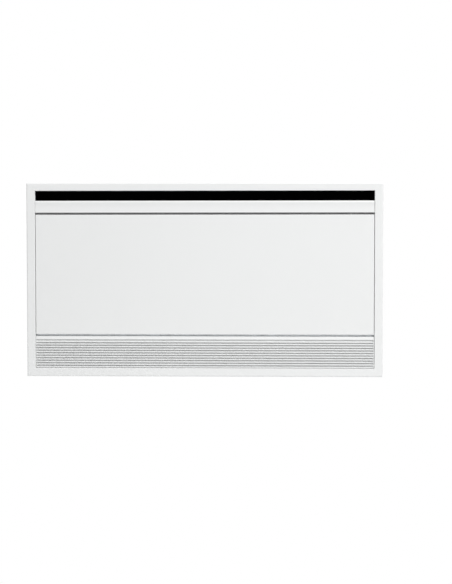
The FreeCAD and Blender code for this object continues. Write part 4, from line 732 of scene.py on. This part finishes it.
def make_foam():
    """The foam sheets behind the panel, with soft edges and a waffle of dips over the back."""
    foam = copy_node("panel_insulation")
    round_edges(foam, FOAM_EDGE, FOAM_EDGE_SEGMENTS)
    low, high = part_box("panel_insulation")
    for axis in (X, Z):
        for line in range(math.ceil(low[axis] / FOAM_STEP), math.floor(high[axis] / FOAM_STEP) + 1):
            slice_back(foam, axis, line * FOAM_STEP)
    back = high.y - FOAM_BACK
    for share in (0.5, 1.0):
        select_points(foam, lambda spot: spot.y > back and abs(waffle_share(spot) - share) < NEAR)
        bpy.ops.transform.translate(value=(0, -FOAM_DIP * share, 0))
        bpy.ops.object.mode_set(mode="OBJECT")
    smooth(60)
    finish_piece(foam, "panel_foam", "foam_sheet", "panel", "panel_insulation")
    return foam


# Small trim: the motor's end, the control cover's vents and the stop in the gap

FAN_AXIS = (-0.068, 0.132)
HUB_SIDES = 32
HUB_RADIUS = 0.012
HUB_RISE = 0.0024
MOTOR_RIB_LENGTH = 0.017
MOTOR_RIB_WIDTH = 0.0020
MOTOR_RIB_TAPER = (1, 0.6, 0.94)
MOTOR_RIB_COUNT = 10

VENT_LENGTH = 0.062
VENT_HEIGHT = 0.0045
VENT_RISE = 0.0022
VENT_TAPER = (0.93, 1, 0.35)
VENT_PITCH = 2.6 * VENT_HEIGHT
VENT_COUNT = 7

STOP_PLACE = 0.564
STOP_WIDTH = 0.0048
STOP_REACH = 0.0155
STOP_HEIGHT = 0.0034
STOP_TAPER = (0.8, 1, 0.7)
STOP_CLEAR = 0.0006

TRIM_SMOOTH = 40


def make_hub():
    """The motor's bearing hub, dished in the middle."""
    hub = add_rod(HUB_SIDES, HUB_RADIUS, HUB_RISE, ALONG_X)
    select_faces(hub, X, 1)
    bpy.ops.mesh.inset(thickness=HUB_RADIUS / 3)
    draw_out(X, -HUB_RISE / 2)
    bpy.ops.object.mode_set(mode="OBJECT")
    return hub


def make_ribs():
    """The ribs round the hub, one modelled and the rest turned copies of it."""
    rib = add_block((HUB_RISE, MOTOR_RIB_WIDTH, MOTOR_RIB_LENGTH))
    select_faces(rib, X, 1)
    bpy.ops.transform.resize(value=MOTOR_RIB_TAPER)
    bpy.ops.object.mode_set(mode="OBJECT")
    rib.location.z = HUB_RADIUS + MOTOR_RIB_LENGTH / 2
    settle()
    ribs = []
    for i in range(MOTOR_RIB_COUNT):
        ribs.append(copy_of(rib))
        ribs[-1].rotation_euler.x = 2 * math.pi * (i + 0.5) / MOTOR_RIB_COUNT
        settle()
    bpy.data.objects.remove(rib)
    return ribs


def make_motor_end():
    """The ribs and the bearing hub on the motor's free end."""
    motor_end_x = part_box("fan_motor")[1].x
    hub = make_hub()
    end = join([hub, *make_ribs()])
    round_edges(end, HUB_RISE / 6)
    smooth(TRIM_SMOOTH)
    end.location = (motor_end_x + HUB_RISE / 2 - SINK, *FAN_AXIS)
    return finish_piece(end, "motor_end", "motor_resin", "chassis")


def make_cover_vents():
    """A column of pressed hoods that let the control box breathe."""
    low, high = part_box("control_cover")
    middle = (low + high) / 2
    hood = add_block((VENT_LENGTH, VENT_RISE, VENT_HEIGHT))
    select_faces(hood, Y, -1)
    bpy.ops.transform.resize(value=VENT_TAPER)
    bpy.ops.transform.translate(value=(0, 0, -VENT_HEIGHT / 4))
    bpy.ops.object.mode_set(mode="OBJECT")
    round_edges(hood, VENT_RISE / 5)
    smooth(TRIM_SMOOTH)
    front = low.y - VENT_RISE / 2 + SINK
    levels = [middle.z + (i - (VENT_COUNT - 1) / 2) * VENT_PITCH for i in range(VENT_COUNT)]
    vents = copy_to(hood, [(middle.x, front, level) for level in levels])
    return finish_piece(vents, "cover_vents", "grey_plastic", "chassis")


def make_gap_stop():
    """The small pale stop on the upper rail that shows as a light tick in the dark gap."""
    rail_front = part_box("upper_rail")[0].y
    panel_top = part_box("front_panel")[1].z
    stop = add_block((STOP_WIDTH, STOP_REACH, STOP_HEIGHT))
    select_faces(stop, Y, -1)
    bpy.ops.transform.resize(value=STOP_TAPER)
    bpy.ops.object.mode_set(mode="OBJECT")
    round_edges(stop, STOP_HEIGHT / 8)
    smooth(TRIM_SMOOTH)
    stop.location = (STOP_PLACE, rail_front - STOP_REACH / 2, panel_top + STOP_CLEAR + STOP_HEIGHT / 2)
    return finish_piece(stop, "gap_stop", "white_plastic", "chassis")


# Stage: a pale floor below the unit, soft light and the photograph's camera

FLOOR_SIZE = 7.0
FLOOR_MIDDLE = (0, -2.4, -1.6)
FLOOR_COLOUR = (0.86, 0.86, 0.86, 1)
FLOOR_ROUGHNESS = 0.8
FLOOR_LIFT = 0.65
WHITE = (1, 1, 1, 1)
WORLD_LIGHT = 0.39
WORLD_SEEN = 1.0

# Each lamp's name, place, aim, size in metres and power in watts
LAMPS = (
    ("key", (3.2, -3.4, 6.2), (0, 0, 0), (4.5, 4.5), 515),
    ("low_fill", (0.4, -4.2, -1.2), (0, 0, -0.2), (2.5, 0.6), 16),
    ("back_fill", (-3.2, 4.0, 1.8), (0, 0, 0), (2.0, 2.0), 40),
)

CAMERA_PLACE = (0.273, -5.448, 0.179)
CAMERA_LENS = 85.0
CAMERA_SENSOR = 36.0
CAMERA_AZIMUTH = math.radians(2.045)
CAMERA_ELEVATION = math.radians(2.428)
CAMERA_ROLL = math.radians(-0.019)


def make_floor():
    """A pale floor, which the camera sees lighter still, with the unit's shadow on it."""
    start_fresh()
    bpy.ops.mesh.primitive_plane_add(size=FLOOR_SIZE, location=FLOOR_MIDDLE)
    floor = bpy.context.object
    floor.name = "floor"
    material, tree, shader = new_material("pale_floor")
    drifted(tree, shader, place(tree), FLOOR_COLOUR, 1.5, 0.01)
    shader.inputs["Roughness"].default_value = FLOOR_ROUGHNESS
    rays = add(tree, "ShaderNodeLightPath")
    share = add(tree, "ShaderNodeMath", operation="MULTIPLY",
                ins={0: rays.outputs["Is Camera Ray"], 1: FLOOR_LIFT})
    white = add(tree, "ShaderNodeEmission", ins={"Color": WHITE, "Strength": 1.0})
    mixed = add(tree, "ShaderNodeMixShader",
                ins={0: share.outputs[0], 1: shader.outputs["BSDF"], 2: white.outputs[0]})
    tree.links.new(mixed.outputs[0], tree.nodes["Material Output"].inputs["Surface"])
    floor.data.materials.append(material)


def make_world():
    """White to the camera and in reflections, and a soft even light for the rest."""
    world = bpy.data.worlds.new("studio")
    bpy.context.scene.world = world
    world.use_nodes = True
    tree = world.node_tree
    tree.nodes.clear()
    rays = add(tree, "ShaderNodeLightPath").outputs
    through = add(tree, "ShaderNodeMath", operation="MAXIMUM",
                  ins={0: rays["Is Camera Ray"], 1: rays["Is Transmission Ray"]})
    seen = add(tree, "ShaderNodeMath", operation="MAXIMUM",
               ins={0: through.outputs[0], 1: rays["Is Glossy Ray"]})
    strength = add(tree, "ShaderNodeMapRange",
                   ins={"Value": seen.outputs[0], "To Min": WORLD_LIGHT, "To Max": WORLD_SEEN})
    back = add(tree, "ShaderNodeBackground", ins={"Color": WHITE, "Strength": strength.outputs["Result"]})
    output = add(tree, "ShaderNodeOutputWorld")
    tree.links.new(back.outputs[0], output.inputs["Surface"])


def make_lamp(name, spot, aim, size, power):
    """A soft square or oblong lamp, turned to what it lights."""
    start_fresh()
    bpy.ops.object.light_add(type="AREA", location=spot)
    lamp = bpy.context.object
    lamp.name = name
    lamp.data.shape = "RECTANGLE"
    lamp.data.size, lamp.data.size_y = size
    lamp.data.energy = power
    lamp.rotation_euler = (Vector(aim) - Vector(spot)).to_track_quat("-Z", "Y").to_euler()


def make_camera():
    """The photograph's view: nearly square on, a little from the right and above."""
    start_fresh()
    bpy.ops.object.camera_add(location=CAMERA_PLACE)
    camera = bpy.context.object
    camera.data.lens = CAMERA_LENS
    camera.data.sensor_fit = "VERTICAL"
    camera.data.sensor_height = CAMERA_SENSOR
    level = math.cos(CAMERA_ELEVATION)
    forward = Vector((-math.sin(CAMERA_AZIMUTH) * level, math.cos(CAMERA_AZIMUTH) * level,
                      -math.sin(CAMERA_ELEVATION)))
    turn = forward.to_track_quat("-Z", "Y").to_matrix() @ Matrix.Rotation(CAMERA_ROLL, 3, "Z")
    camera.rotation_euler = turn.to_euler()
    bpy.context.scene.camera = camera


dress_cad_nodes()
make_fin_pack()
make_coil_tubes()
make_bends("bends_left", "return_bends_left", -1)
make_bends("bends_right", "return_bends_right", 1)
make_screw_thread("supply_thread", "supply_union")
make_screw_thread("return_thread", "return_union")
make_filter_net()
make_foam()
make_motor_end()
make_cover_vents()
make_gap_stop()
make_floor()
make_world()
for lamp in LAMPS:
    make_lamp(*lamp)
make_camera()

scene = bpy.context.scene
scene.view_settings.view_transform = "Standard"
